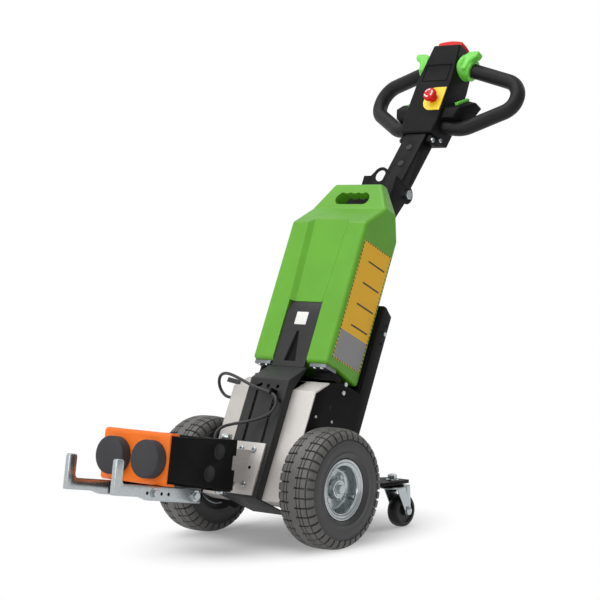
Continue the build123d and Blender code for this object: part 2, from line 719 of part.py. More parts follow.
# Spine: channel behind the battery, ears for the tiller and the lifting eye on top
ear_inner = SPINE_WIDTH / 2 - SPINE_WALL
with BuildPart() as spine:
    with BuildSketch(lean_side):
        with BuildLine():
            Polyline(
                (spine_front, SPINE_LOW_UP),
                (spine_front, SPINE_TOP_UP),
                (pivot_back, PIVOT_UP + EAR_RADIUS),
                (pivot_back, PIVOT_UP - EAR_RADIUS),
                (spine_front + SPINE_DEPTH, PIVOT_UP - PIVOT_BEHIND_SPINE - EAR_RADIUS),
                (spine_front + SPINE_DEPTH, SPINE_LOW_UP),
                close=True,
            )
        make_face()
        with Locations((pivot_back, PIVOT_UP)):
            Circle(EAR_RADIUS)
            Circle(PIVOT_BOLT_RADIUS + RUNNING_FIT, mode=Mode.SUBTRACT)
    extrude(amount=SPINE_WIDTH / 2, both=True)
    with BuildSketch(lean_side):
        with Locations((spine_front + SPINE_WALL + PIVOT_UP / 2, PIVOT_UP / 2)):
            Rectangle(PIVOT_UP, 3 * PIVOT_UP)
    extrude(amount=ear_inner, both=True, mode=Mode.SUBTRACT)
    with BuildSketch(lean_front.offset(-spine_front)):
        with BuildLine():
            Polyline(
                (-EYE_FOOT_WIDTH / 2, SPINE_TOP_UP - EYE_NECK_RISE),
                (-EYE_FOOT_WIDTH / 2, SPINE_TOP_UP),
                (-EYE_NECK_WIDTH / 2, SPINE_TOP_UP + EYE_NECK_RISE),
                (EYE_NECK_WIDTH / 2, SPINE_TOP_UP + EYE_NECK_RISE),
                (EYE_FOOT_WIDTH / 2, SPINE_TOP_UP),
                (EYE_FOOT_WIDTH / 2, SPINE_TOP_UP - EYE_NECK_RISE),
                close=True,
            )
        make_face()
        with Locations((0, SPINE_TOP_UP)):
            Circle(EYE_LOBE_RADIUS)
    extrude(amount=-SPINE_WALL)
    with BuildSketch(lean_front.offset(-spine_front)):
        with Locations((0, SPINE_TOP_UP)):
            Circle(EYE_RADIUS)
    extrude(amount=-SPINE_WALL, mode=Mode.SUBTRACT)
keep(spine, "spine")

# Tiller pivot bolt with a head on each side
with BuildPart() as tiller_bolt:
    with BuildSketch(lean_side):
        with Locations((pivot_back, PIVOT_UP)):
            Circle(PIVOT_BOLT_RADIUS)
    extrude(amount=SPINE_WIDTH / 2 + PIVOT_HEAD_THICK, both=True)
    for _, sign in SIDES:
        with BuildSketch(lean_side.offset(sign * SPINE_WIDTH / 2)):
            with Locations((pivot_back, PIVOT_UP)):
                RegularPolygon(PIVOT_HEAD_RADIUS, 6)
        extrude(amount=sign * PIVOT_HEAD_THICK)
keep(tiller_bolt, "tiller_bolt")

# Tiller column: box tube cut square to the head, with a cross boss on the pivot
head_base = Plane(origin=head_foot, x_dir=ACROSS, z_dir=head_up)
with BuildPart() as tiller_column:
    with BuildSketch(column_side):
        with Locations((0, (HEAD_LENGTH + HEAD_UP_COLUMN) / 2 - COLUMN_TAIL)):
            Rectangle(COLUMN_DEPTH, HEAD_LENGTH + HEAD_UP_COLUMN)
    extrude(amount=COLUMN_WIDTH / 2, both=True)
    with BuildSketch(column_side):
        with Locations((0, (HEAD_LENGTH + HEAD_UP_COLUMN) / 2 - COLUMN_TAIL)):
            Rectangle(COLUMN_DEPTH - 2 * COLUMN_WALL, HEAD_LENGTH + HEAD_UP_COLUMN)
    extrude(amount=COLUMN_WIDTH / 2 - COLUMN_WALL, both=True, mode=Mode.SUBTRACT)
    with BuildSketch(column_side):
        Circle(COLUMN_BOSS_RADIUS)
    extrude(amount=ear_inner - SEAT_GAP, both=True)
    with BuildSketch(column_side):
        Circle(PIVOT_BOLT_RADIUS + RUNNING_FIT)
    extrude(amount=SPINE_WIDTH, both=True, mode=Mode.SUBTRACT)
    split(bisect_by=head_base, keep=Keep.BOTTOM)
    column_face = Plane(origin=pivot - column_back * COLUMN_DEPTH / 2, x_dir=ACROSS, z_dir=-column_back)
    with BuildSketch(column_face):
        with Locations((0, COLUMN_HOLE_UP), (0, COLUMN_HOLE_UP + COLUMN_HOLE_PITCH)):
            Circle(COLUMN_HOLE_RADIUS)
    extrude(amount=-2 * COLUMN_WALL, mode=Mode.SUBTRACT)
keep(tiller_column, "tiller_column")

# Clamp under the head that closes round the back of the column
with BuildPart() as head_clamp:
    with BuildSketch(head_side):
        with BuildLine():
            Polyline(
                (CLAMP_FRONT, 0),
                (CLAMP_BACK, 0),
                (CLAMP_BACK, -CLAMP_REAR_DROP),
                ((CLAMP_FRONT + CLAMP_BACK) / 2, -CLAMP_DROP),
                (CLAMP_FRONT, -CLAMP_DROP),
                close=True,
            )
        make_face()
    extrude(amount=CLAMP_WIDTH / 2, both=True)
    with BuildSketch(column_side):
        Rectangle(COLUMN_DEPTH, 2 * (HEAD_LENGTH + HEAD_UP_COLUMN))
    extrude(amount=COLUMN_WIDTH / 2, both=True, mode=Mode.SUBTRACT)
keep(head_clamp, "head_clamp")

# Head housing: tapered tower on wide shoulders, with a rounded crown and a blank recess
shoulder_depth = HEAD_DEPTH - HEAD_SHOULDER_BACK
neck_up = HEAD_SHOULDER_UP + shoulder_depth
with BuildPart() as head_housing:
    with BuildSketch(head_front.offset(-HEAD_SHOULDER_BACK)):
        with BuildLine():
            Polyline(
                (0, HEAD_SHOULDER_LOW_UP),
                (HEAD_SHOULDER_LOW_WIDTH / 2, HEAD_SHOULDER_LOW_UP),
                (HEAD_SHOULDER_WIDTH / 2, HEAD_SHOULDER_UP),
                (HEAD_WING_WIDTH / 2, HEAD_WING_UP),
                (HEAD_WAIST_WIDTH / 2, neck_up),
                (0, neck_up),
                close=True,
            )
        make_face()
        mirror(about=Plane.YZ)
    extrude(amount=-shoulder_depth)
    with BuildSketch(head_side):
        with BuildLine():
            Polyline(
                (HEAD_SHOULDER_BACK, HEAD_SHOULDER_UP),
                (HEAD_DEPTH, neck_up),
                (HEAD_SHOULDER_BACK, neck_up),
                close=True,
            )
        make_face()
    extrude(amount=HEAD_WING_WIDTH, both=True, mode=Mode.SUBTRACT)
    with BuildSketch(head_front):
        with BuildLine():
            Polyline(
                (0, 0),
                (HEAD_FOOT_WIDTH / 2, 0),
                (HEAD_WAIST_WIDTH / 2, HEAD_FOOT_UP),
                (HEAD_WAIST_WIDTH / 2, HEAD_LENGTH - HEAD_TAPER_LENGTH),
                (HEAD_TOP_WIDTH / 2, HEAD_LENGTH),
                (0, HEAD_LENGTH),
                close=True,
            )
        make_face()
        mirror(about=Plane.YZ)
    extrude(amount=-HEAD_DEPTH)
    crown_edge = head_housing.edges().filter_by(Axis.X).group_by(Axis(head_foot, head_back + head_up))[-1]
    fillet(crown_edge, radius=HEAD_CROWN_RADIUS)
    front_face = head_housing.faces().sort_by(Axis(head_foot, -head_back))[-1]
    fillet(front_face.edges(), radius=HEAD_ROUND)
    with BuildSketch(head_front):
        with Locations((0, HEAD_LENGTH - NAME_RECESS_DROP)):
            Rectangle(NAME_RECESS_WIDTH, NAME_RECESS_HEIGHT)
    extrude(amount=-NAME_RECESS_DEPTH, mode=Mode.SUBTRACT)
keep(head_housing, "head_housing")

# Belly switch: a pad that wraps the crown of the head
crown_mid = (HEAD_DEPTH - HEAD_CROWN_RADIUS, HEAD_LENGTH - HEAD_CROWN_RADIUS)
pad_inner = HEAD_CROWN_RADIUS + SEAT_GAP
pad_outer = HEAD_CROWN_RADIUS + BELLY_SWITCH_THICK
with BuildPart() as belly_switch:
    with BuildSketch(head_side):
        with Locations(crown_mid):
            Circle(pad_outer)
            Circle(pad_inner, mode=Mode.SUBTRACT)
            Rectangle(4 * pad_outer, 2 * pad_outer, align=(Align.CENTER, Align.MAX), mode=Mode.SUBTRACT)
            Rectangle(2 * pad_outer, 4 * pad_outer, align=(Align.MAX, Align.CENTER), mode=Mode.SUBTRACT)
        with Locations((BELLY_SWITCH_FRONT, HEAD_LENGTH + SEAT_GAP)):
            Rectangle(crown_mid[0] - BELLY_SWITCH_FRONT, pad_outer - pad_inner, align=(Align.MIN, Align.MIN))
    extrude(amount=BELLY_SWITCH_WIDTH / 2, both=True)
    side_faces = belly_switch.faces().filter_by(Axis.X)
    fillet(side_faces.edges(), radius=BELLY_SWITCH_ROUND)
keep(belly_switch, "belly_switch")

# Handle loops: bent tubes from the head's shoulder to the tower, trimmed to the housing
loop_origin = head_foot + head_back * LOOP_SET_BACK
loop_roots = {}
for side, sign in SIDES:
    out = ACROSS * (sign * cos(radians(LOOP_SWEEP))) + head_back * sin(radians(LOOP_SWEEP))
    root = loop_origin + ACROSS * (sign * LOOP_ROOT)
    loop_plane = Plane(origin=root, x_dir=out, z_dir=out.cross(head_up))
    route = [
        (-LOOP_TUBE_RADIUS, LOOP_TOP_UP),
        (LOOP_TOP_OUT[0] - LOOP_ROOT, LOOP_TOP_OUT[1]),
        (LOOP_LOW_OUT[0] - LOOP_ROOT, LOOP_LOW_OUT[1]),
        (LOOP_LOW_IN[0] - LOOP_ROOT, LOOP_LOW_IN[1]),
        (-LOOP_TUBE_RADIUS, LOOP_LOW_IN[1]),
    ]
    with BuildPart() as handle_loop:
        with BuildLine(loop_plane) as loop_path:
            FilletPolyline(*route, radius=[LOOP_BEND_RADIUS, LOOP_BEND_RADIUS, LOOP_LOW_BEND_RADIUS])
        with BuildSketch(Plane(origin=loop_path.line @ 0, z_dir=loop_path.line % 0)):
            Circle(LOOP_TUBE_RADIUS)
        sweep()
        add(head_housing.part, mode=Mode.SUBTRACT)
    loop_roots[side] = (loop_path.line @ 0, loop_path.line % 0)
    keep(handle_loop, f"handle_loop_{side}")

# Thumb levers: tapered drums round the roots of the loops, each with a thumb paddle
for side, sign in SIDES:
    loop_start, loop_run = loop_roots[side]
    with BuildPart() as thumb_lever:
        with BuildSketch(Plane(origin=loop_start + loop_run * LOOP_TUBE_RADIUS, z_dir=loop_run)):
            Circle(LEVER_HUB_RADIUS)
        extrude(amount=LEVER_HUB_LENGTH, taper=LEVER_HUB_TAPER)
        with BuildSketch(head_front.offset(-LEVER_PADDLE_FRONT)) as paddle:
            with BuildLine():
                Polyline(*[(sign * out, LOOP_TOP_UP + up) for out, up in LEVER_PADDLE], close=True)
            make_face()
            fillet(paddle.vertices(), radius=LEVER_PADDLE_ROUND)
        extrude(amount=-LEVER_PADDLE_DEPTH)
        add(pieces[f"handle_loop_{side}"], mode=Mode.SUBTRACT)
        add(head_housing.part, mode=Mode.SUBTRACT)
    keep(thumb_lever, f"thumb_lever_{side}")

# Thumb buttons along the sloped tops of the shoulders
for side, sign in SIDES:
    slope_up = HEAD_SHOULDER_UP - HEAD_SHOULDER_BACK
    slope_foot = head_foot + head_up * slope_up + ACROSS * (sign * THUMB_BUTTON_OUT)
    seat = slope_foot + (head_up + head_back) * THUMB_BUTTON_BACK
    button_plane = Plane(origin=seat, x_dir=head_back + head_up, z_dir=head_up - head_back)
    with BuildPart() as thumb_button:
        with BuildSketch(button_plane):
            RectangleRounded(THUMB_BUTTON_LENGTH, THUMB_BUTTON_WIDTH, SHEET)
        extrude(amount=THUMB_BUTTON_HEIGHT)
    keep(thumb_button, f"thumb_button_{side}")

# Emergency stop: plate on the head's face and mushroom button
with BuildPart() as stop_plate:
    with BuildSketch(head_front) as plate_outline:
        with Locations((STOP_PLATE_OUT, STOP_PLATE_UP)):
            Rectangle(STOP_PLATE_WIDTH, STOP_PLATE_HEIGHT)
        fillet(plate_outline.vertices().group_by(Axis.X)[0], radius=STOP_PLATE_ROUND)
    extrude(amount=STOP_PLATE_THICK)
keep(stop_plate, "stop_plate")

with BuildPart() as stop_button:
    with BuildSketch(head_front.offset(STOP_PLATE_THICK)):
        with Locations((STOP_PLATE_OUT, STOP_PLATE_UP)):
            Circle(STOP_STEM_RADIUS)
    extrude(amount=STOP_BUTTON_HEIGHT / 2)
    with BuildSketch(head_front.offset(STOP_PLATE_THICK + STOP_BUTTON_HEIGHT / 2)):
        with Locations((STOP_PLATE_OUT, STOP_PLATE_UP)):
            Circle(STOP_BUTTON_RADIUS)
    extrude(amount=STOP_BUTTON_HEIGHT / 2)
keep(stop_button, "stop_button")

# Caster beam: plate from the box with two arms out to the casters
beam_plane = Plane.XY.offset(CASTER_HEIGHT)
beam_rear = CASTER_BEHIND_AXLE + BEAM_END_MARGIN
beam_half = CASTER_TRACK / 2 + BEAM_END_MARGIN
with BuildPart() as caster_beam:
    with BuildSketch(beam_plane):
        with BuildLine():
            Polyline(
                (0, BEAM_FRONT_BEHIND_AXLE),
                (inner_half, BEAM_FRONT_BEHIND_AXLE),
                (inner_half, BEAM_TAPER_START),
                (beam_half, CASTER_BEHIND_AXLE - BEAM_END_MARGIN),
                (beam_half, beam_rear),
                (beam_half - BEAM_ARM_WIDTH, beam_rear),
                (beam_half - 2 * BEAM_ARM_WIDTH, beam_rear - BEAM_REAR_CUT),
                (0, beam_rear - BEAM_REAR_CUT),
                close=True,
            )
        make_face()
        mirror(about=Plane.YZ)
        with Locations((-CASTER_TRACK / 2, CASTER_BEHIND_AXLE), (CASTER_TRACK / 2, CASTER_BEHIND_AXLE)):
            Circle(CASTER_STEM_RADIUS, mode=Mode.SUBTRACT)
    extrude(amount=BEAM_THICK)
keep(caster_beam, "caster_beam")

# Casters: stem with its ball race, swivel fork, axle and wheel
crown_top = CASTER_HEIGHT - CASTER_RACE_THICK - SEAT_GAP
crown_low = crown_top - CASTER_CROWN_THICK
caster_axle_z = CASTER_WHEEL_DIAMETER / 2
leg_inner = CASTER_WHEEL_WIDTH / 2 + CASTER_LEG_GAP
leg_outer = leg_inner + CASTER_LEG_THICK
for side, sign in SIDES:
    swivel = Vector(sign * CASTER_TRACK / 2, CASTER_BEHIND_AXLE, 0)
    hub = swivel + Vector(0, CASTER_TRAIL, caster_axle_z)
    leg_side = Plane(origin=hub, x_dir=(0, 1, 0), z_dir=ACROSS)
    with BuildPart() as caster_stem:
        with BuildSketch(Plane(origin=swivel, x_dir=ACROSS, z_dir=(0, -1, 0))):
            with BuildLine():
                Polyline(
                    (0, crown_low - SEAT_GAP - CASTER_STEM_HEAD_THICK),
                    (CASTER_STEM_HEAD_RADIUS, crown_low - SEAT_GAP - CASTER_STEM_HEAD_THICK),
                    (CASTER_STEM_HEAD_RADIUS, crown_low - SEAT_GAP),
                    (CASTER_STEM_RADIUS, crown_low - SEAT_GAP),
                    (CASTER_STEM_RADIUS, crown_top + SEAT_GAP),
                    (CASTER_RACE_RADIUS, crown_top + SEAT_GAP),
                    (CASTER_RACE_RADIUS, CASTER_HEIGHT),
                    (CASTER_STEM_RADIUS, CASTER_HEIGHT),
                    (CASTER_STEM_RADIUS, CASTER_HEIGHT + BEAM_THICK),
                    (CASTER_STEM_HEAD_RADIUS, CASTER_HEIGHT + BEAM_THICK),
                    (CASTER_STEM_HEAD_RADIUS, CASTER_HEIGHT + BEAM_THICK + CASTER_STEM_HEAD_THICK),
                    (0, CASTER_HEIGHT + BEAM_THICK + CASTER_STEM_HEAD_THICK),
                    close=True,
                )
            make_face()
        revolve(axis=Axis(swivel, (0, 0, 1)))
    keep(caster_stem, f"caster_stem_{side}")
    with BuildPart() as caster_fork:
        with BuildSketch(Plane(origin=swivel + Vector(0, 0, crown_low), x_dir=ACROSS, z_dir=(0, 0, 1))):
            Circle(CASTER_CROWN_RADIUS)
            with Locations((0, CASTER_TRAIL / 2)):
                Rectangle(2 * leg_outer, CASTER_TRAIL + 2 * CASTER_LEG_OVERHANG)
            Circle(CASTER_STEM_RADIUS + RUNNING_FIT, mode=Mode.SUBTRACT)
        extrude(amount=CASTER_CROWN_THICK)
        for leg_sign in (-1, 1):
            with BuildSketch(leg_side.offset(leg_sign * leg_inner)):
                with BuildLine():
                    Polyline(
                        (-CASTER_LEG_FOOT_RADIUS, 0),
                        (-CASTER_TRAIL - CASTER_LEG_OVERHANG, crown_low - caster_axle_z),
                        (CASTER_LEG_OVERHANG, crown_low - caster_axle_z),
                        (CASTER_LEG_FOOT_RADIUS, 0),
                        close=True,
                    )
                make_face()
                Circle(CASTER_LEG_FOOT_RADIUS)
                Circle(CASTER_AXLE_RADIUS, mode=Mode.SUBTRACT)
            extrude(amount=leg_sign * CASTER_LEG_THICK)
    keep(caster_fork, f"caster_fork_{side}")
    with BuildPart() as caster_axle:
        with BuildSketch(leg_side):
            Circle(CASTER_AXLE_RADIUS)
        extrude(amount=leg_outer + CASTER_AXLE_HEAD, both=True)
        for leg_sign in (-1, 1):
            with BuildSketch(leg_side.offset(leg_sign * leg_outer)):
                RegularPolygon(2 * CASTER_AXLE_RADIUS, 6)
            extrude(amount=leg_sign * CASTER_AXLE_HEAD)
    keep(caster_axle, f"caster_axle_{side}")
    with BuildPart() as caster_wheel:
        with BuildSketch(leg_side):
            Circle(CASTER_WHEEL_DIAMETER / 2)
            Circle(CASTER_AXLE_RADIUS + RUNNING_FIT, mode=Mode.SUBTRACT)
        extrude(amount=CASTER_WHEEL_WIDTH / 2, both=True)
        rims = caster_wheel.edges().filter_by(GeomType.CIRCLE).sort_by(SortBy.RADIUS)[-2:]
        chamfer(rims, length=CASTER_WHEEL_BEVEL)
    keep(caster_wheel, f"caster_wheel_{side}")

# Hitch bracket: base plate on the channel, with a knuckle round the pin
bracket_front = CHANNEL_FRONT + BRACKET_THICK
base_plane = lean_front.offset(CHANNEL_FRONT)
with BuildPart() as hitch_bracket:
    with BuildSketch(base_plane):
        with Locations((0, (BRACKET_TOP_UP + BRACKET_LOW_UP) / 2)):
            Rectangle(BRACKET_WIDTH, BRACKET_TOP_UP - BRACKET_LOW_UP)
    extrude(amount=BRACKET_THICK)
    with BuildSketch(hitch_top.offset(-KNUCKLE_HALF_HEIGHT)):
        Circle(KNUCKLE_RADIUS)
        with Locations((-PIN_AHEAD_OF_AXLE / 2, 0)):
            Rectangle(PIN_AHEAD_OF_AXLE, BRACKET_NECK_WIDTH)
    extrude(amount=2 * KNUCKLE_HALF_HEIGHT)
    split(bisect_by=base_plane, keep=Keep.TOP)
    with BuildSketch(hitch_top.offset(-KNUCKLE_HALF_HEIGHT)):
        Circle(PIN_RADIUS)
    extrude(amount=2 * KNUCKLE_HALF_HEIGHT, mode=Mode.SUBTRACT)
keep(hitch_bracket, "hitch_bracket")

# Hitch pin with head and nut
lug_top = ARM_LUG_ABOVE + ARM_LUG_THICK
with BuildPart() as hitch_pin:
    with BuildSketch(hitch_top.offset(-lug_top - SEAT_GAP - PIN_NUT_THICK)):
        Circle(PIN_RADIUS)
    extrude(amount=2 * (lug_top + SEAT_GAP) + PIN_NUT_THICK + PIN_HEAD_THICK)
    with BuildSketch(hitch_top.offset(lug_top + SEAT_GAP)):
        RegularPolygon(PIN_HEAD_RADIUS, 6)
    extrude(amount=PIN_HEAD_THICK)
    with BuildSketch(hitch_top.offset(-lug_top - SEAT_GAP)):
        RegularPolygon(PIN_HEAD_RADIUS, 6)
    extrude(amount=-PIN_NUT_THICK)
keep(hitch_pin, "hitch_pin")

# Hitch arm: two tapered side plates on lugs that close over the knuckle
arm_half = ARM_WIDTH / 2
with BuildPart() as hitch_arm:
    for _, sign in SIDES:
        with BuildSketch(hitch_side.offset(sign * arm_half)):
            with BuildLine():
                Polyline(
                    (ARM_REAR, ARM_LOW_REAR),
                    (ARM_REAR, ARM_NOTCH_LOW),
                    (ARM_REAR + ARM_NOTCH_DEPTH, ARM_NOTCH_LOW),
                    (ARM_REAR + ARM_NOTCH_DEPTH, ARM_NOTCH_LOW + ARM_NOTCH_HEIGHT),
                    (ARM_REAR, ARM_NOTCH_LOW + ARM_NOTCH_HEIGHT),
                    (ARM_REAR, ARM_TOP_REAR),
                    (ARM_FRONT, ARM_TOP_FRONT),
                    (ARM_FRONT, ARM_LOW_FRONT),
                    close=True,
                )
            make_face()
        extrude(amount=-sign * PLATE)
        with BuildSketch(hitch_side.offset(sign * arm_half)):
            with Locations(*ARM_DIMPLES):
                Circle(ARM_DIMPLE_RADIUS)
        extrude(amount=-sign * ARM_DIMPLE_DEPTH, mode=Mode.SUBTRACT)
    for low in (-lug_top, ARM_LUG_ABOVE):
        with BuildSketch(hitch_top.offset(low)):
            with BuildLine():
                Polyline(
                    (0, ARM_LUG_RADIUS),
                    (ARM_REAR, arm_half - PLATE),
                    (ARM_REAR + ARM_LUG_ABOVE, arm_half - PLATE),
                    (ARM_REAR + ARM_LUG_ABOVE, -arm_half + PLATE),
                    (ARM_REAR, -arm_half + PLATE),
                    (0, -ARM_LUG_RADIUS),
                    close=True,
                )
            make_face()
            Circle(ARM_LUG_RADIUS)
            Circle(PIN_RADIUS + RUNNING_FIT, mode=Mode.SUBTRACT)
        extrude(amount=ARM_LUG_THICK)
keep(hitch_arm, "hitch_arm")

# Hitch head: plate with flanges folded back over the arm
with BuildPart() as hitch_head:
    with BuildSketch(hitch_side):
        with BuildLine():
            Polyline(
                (ARM_FRONT - HEAD_PLATE_FLANGE, ARM_TOP_REAR),
                (ARM_FRONT + PLATE, ARM_TOP_REAR),
                (ARM_FRONT + PLATE, ARM_LOW_REAR),
                (ARM_FRONT - HEAD_PLATE_FLANGE, ARM_LOW_REAR),
                (ARM_FRONT - HEAD_PLATE_FLANGE, ARM_LOW_REAR + PLATE),
                (ARM_FRONT, ARM_LOW_REAR + PLATE),
                (ARM_FRONT, ARM_TOP_REAR - PLATE),
                (ARM_FRONT - HEAD_PLATE_FLANGE, ARM_TOP_REAR - PLATE),
                close=True,
            )
        make_face()
    extrude(amount=arm_half, both=True)
    front_edges = hitch_head.edges().filter_by(Axis.X).group_by(Axis(pin, -pin_back))[-1]
    fillet(front_edges, radius=HEAD_PLATE_BEND)
keep(hitch_head, "hitch_head")

# Rubber buffers on the hitch head
for side, sign in SIDES:
    with BuildPart() as buffer:
        with BuildSketch(hitch_front.offset(ARM_FRONT + PLATE)):
            with Locations((sign * BUFFER_SPACING / 2, 0)):
                Circle(BUFFER_RADIUS)
        extrude(amount=BUFFER_THICK)
    keep(buffer, f"buffer_{side}")

# Hook bars below the arm, each on a rail that is welded to the arm
bar_top = ARM_LOW_REAR - HOOK_BAR_DROP
bar_low = bar_top - HOOK_BAR_HEIGHT
for side, sign in SIDES:
    with BuildPart() as hook_rail:
        with BuildSketch(hitch_side.offset(-sign * HOOK_BAR_OUT)) as rail_outline:
            with BuildLine():
                Polyline(
                    (RAIL_REAR, bar_low),
                    (RAIL_REAR, ARM_LOW_REAR),
                    (ARM_FRONT, ARM_LOW_REAR),
                    (ARM_FRONT, bar_low),
                    close=True,
                )
            make_face()
            fillet(rail_outline.vertices().group_by(Axis.X)[0], radius=RAIL_ROUND)
        extrude(amount=sign * RAIL_THICK)
    keep(hook_rail, f"hook_rail_{side}")
    with BuildPart() as hook_bar:
        with BuildSketch(hitch_side.offset(-sign * HOOK_BAR_OUT)) as bar_outline:
            with BuildLine():
                Polyline(
                    (HOOK_BAR_REAR, bar_low),
                    (HOOK_BAR_REAR, bar_top),
                    (HOOK_FRONT - HOOK_PRONG_WIDTH, bar_top),
                    (HOOK_FRONT - HOOK_PRONG_WIDTH, HOOK_PRONG_TOP),
                    (HOOK_FRONT, HOOK_PRONG_TOP),
                    (HOOK_FRONT, bar_top - HOOK_NOSE_HEIGHT),
                    (HOOK_NOSE_REAR, bar_top - HOOK_NOSE_HEIGHT),
                    (HOOK_NOSE_REAR - HOOK_PRONG_WIDTH, bar_low),
                    close=True,
                )
            make_face()
            prong_foot = (HOOK_FRONT - HOOK_PRONG_WIDTH, bar_top)
            fillet(bar_outline.vertices().sort_by_distance(prong_foot)[0], radius=HOOK_CORNER_ROUND)
            fillet(bar_outline.vertices().group_by(Axis.Y)[-1], radius=HOOK_TIP_ROUND)
        extrude(amount=-sign * HOOK_BAR_THICK)
    keep(hook_bar, f"hook_bar_{side}")

# Cable with its gland on the hitch bracket
route_points = [foot + ACROSS * across + lean_back * back + lean_up * up for across, back, up in CABLE_ROUTE]
runs = [end - start for start, end in zip(route_points, route_points[1:])]
radii = []
for before, after in zip(runs, runs[1:]):
    turn = radians(before.get_angle(after))
    radii.append(CABLE_RUN_SHARE * min(before.length, after.length) / tan(turn / 2))
print("Cable radii", [round(radius, 1) for radius in radii])
with BuildPart() as cable:
    with BuildLine() as cable_path:
        FilletPolyline(*route_points, radius=radii)
    with BuildSketch(Plane(origin=cable_path.line @ 0, z_dir=cable_path.line % 0)):
        Circle(CABLE_DIAMETER / 2)
    sweep()
print("Cable length", round(sum(edge.length for edge in cable_path.edges()), 1))
keep(cable, "cable")

gland_across, gland_back, gland_up = CABLE_ROUTE[0]
with BuildPart() as cable_gland:
    with BuildSketch(lean_front.offset(bracket_front)):
        with Locations((gland_across, gland_up)):
            Circle(GLAND_RADIUS)
    extrude(amount=-gland_back - bracket_front)
keep(cable_gland, "cable_gland")

# The origin lies under the middle of the whole machine
boxes = [part.bounding_box() for name, part in pieces.items() if name != "cable"]
origin = Vector(0, (min(box.min.Y for box in boxes) + max(box.max.Y for box in boxes)) / 2, 0)
for name, point in (("drive axle", Vector(0, 0, AXLE_Z)), ("tiller pivot", pivot), ("hitch pin", pin)):
    print(name, point - origin)

os.makedirs("parts", exist_ok=True)
for name, part in pieces.items():
    placed = part.moved(Location(-origin))
    placed.label = name
    export_step(placed, f"parts/{name}.step")
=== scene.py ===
"""Walk-behind battery tug: tread, fasteners, labels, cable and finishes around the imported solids.

Every length is in metres unless it says otherwise. The tug faces its hitch along -Y and stands on Z = 0.
"""

import json
from math import cos, pi, radians, tan

import bmesh
import bpy
from bpy.props import FloatProperty, FloatVectorProperty, IntProperty, PointerProperty
from mathutils import Matrix, Vector


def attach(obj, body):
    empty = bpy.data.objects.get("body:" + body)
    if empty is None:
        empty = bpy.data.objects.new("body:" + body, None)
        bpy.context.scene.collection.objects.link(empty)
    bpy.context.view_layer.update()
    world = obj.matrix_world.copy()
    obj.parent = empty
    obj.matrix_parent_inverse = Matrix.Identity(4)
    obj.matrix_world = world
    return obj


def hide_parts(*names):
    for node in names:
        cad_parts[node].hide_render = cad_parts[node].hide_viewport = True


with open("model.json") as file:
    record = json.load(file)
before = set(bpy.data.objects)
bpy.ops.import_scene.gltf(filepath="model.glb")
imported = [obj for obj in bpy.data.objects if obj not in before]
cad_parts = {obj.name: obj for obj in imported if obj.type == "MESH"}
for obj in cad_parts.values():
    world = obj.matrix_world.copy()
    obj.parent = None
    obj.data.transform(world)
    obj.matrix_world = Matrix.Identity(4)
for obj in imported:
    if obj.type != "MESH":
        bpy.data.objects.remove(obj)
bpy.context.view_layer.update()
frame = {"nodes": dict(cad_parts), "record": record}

bl_info = {
    "name": "Battery tug finisher",
    "version": (1, 0, 0),
    "blender": (4, 5, 0),
    "location": "3D View > Sidebar > Tug",
    "description": "Adds tread, fasteners, labels, the cable and finishes to a battery tug",
    "category": "Object",
}

SIDES = (("left", -1), ("right", 1))
MM = 0.001


def tilted(origin, degrees):
    """A frame that leans back: X across, Y back and Z up along the lean."""
    return Matrix.Translation(Vector(origin)) @ Matrix.Rotation(-radians(degrees), 4, "X")


LEAN_DEGREES = 24.5
LEAN = tilted((0, -0.0191792, 0.390), LEAN_DEGREES)
COLUMN = tilted((0, 0.352859, 0.757838), 40.5)
HEAD = tilted((0, 0.448150, 0.907910), 30.5)
HITCH = tilted((0, -0.234779, 0.180), 9)
AXLE = Vector((0, -0.0947792, 0.130))
WHEEL_CENTRE = 0.1805
CASTER_HUB = Vector((0.125, 0.2302208, 0.0375))
CASTER_SWIVEL = Vector((0.125, 0.1972208, 0))
NODE_BODY = {node: body for body, nodes in frame["record"]["behaviour"]["bodies"].items() for node in nodes}
NODE_SLOT = {name: node.material_slots[0].material.name for name, node in frame["nodes"].items()}

# Ways that a turned piece can point, from its own Z axis
FACING = {
    "right": Matrix.Rotation(pi / 2, 4, "Y"),
    "left": Matrix.Rotation(-pi / 2, 4, "Y"),
    "front": Matrix.Rotation(pi / 2, 4, "X"),
    "up": Matrix.Identity(4),
    "down": Matrix.Rotation(pi, 4, "X"),
}


def srgb(*values):
    """A colour given in display values from 0 to 255, as linear light."""
    shares = [value / 255 for value in values]
    return tuple(part / 12.92 if part <= 0.04045 else ((part + 0.055) / 1.055) ** 2.4 for part in shares)


def colour(name, description, default):
    """A colour property with the subtype of scene light."""
    return FloatVectorProperty(
        name=name, description=description, subtype="COLOR", size=3, min=0, max=1, default=default
    )


def length(name, description, default):
    """A length property in metres."""
    return FloatProperty(name=name, description=description, unit="LENGTH", min=0, default=default)


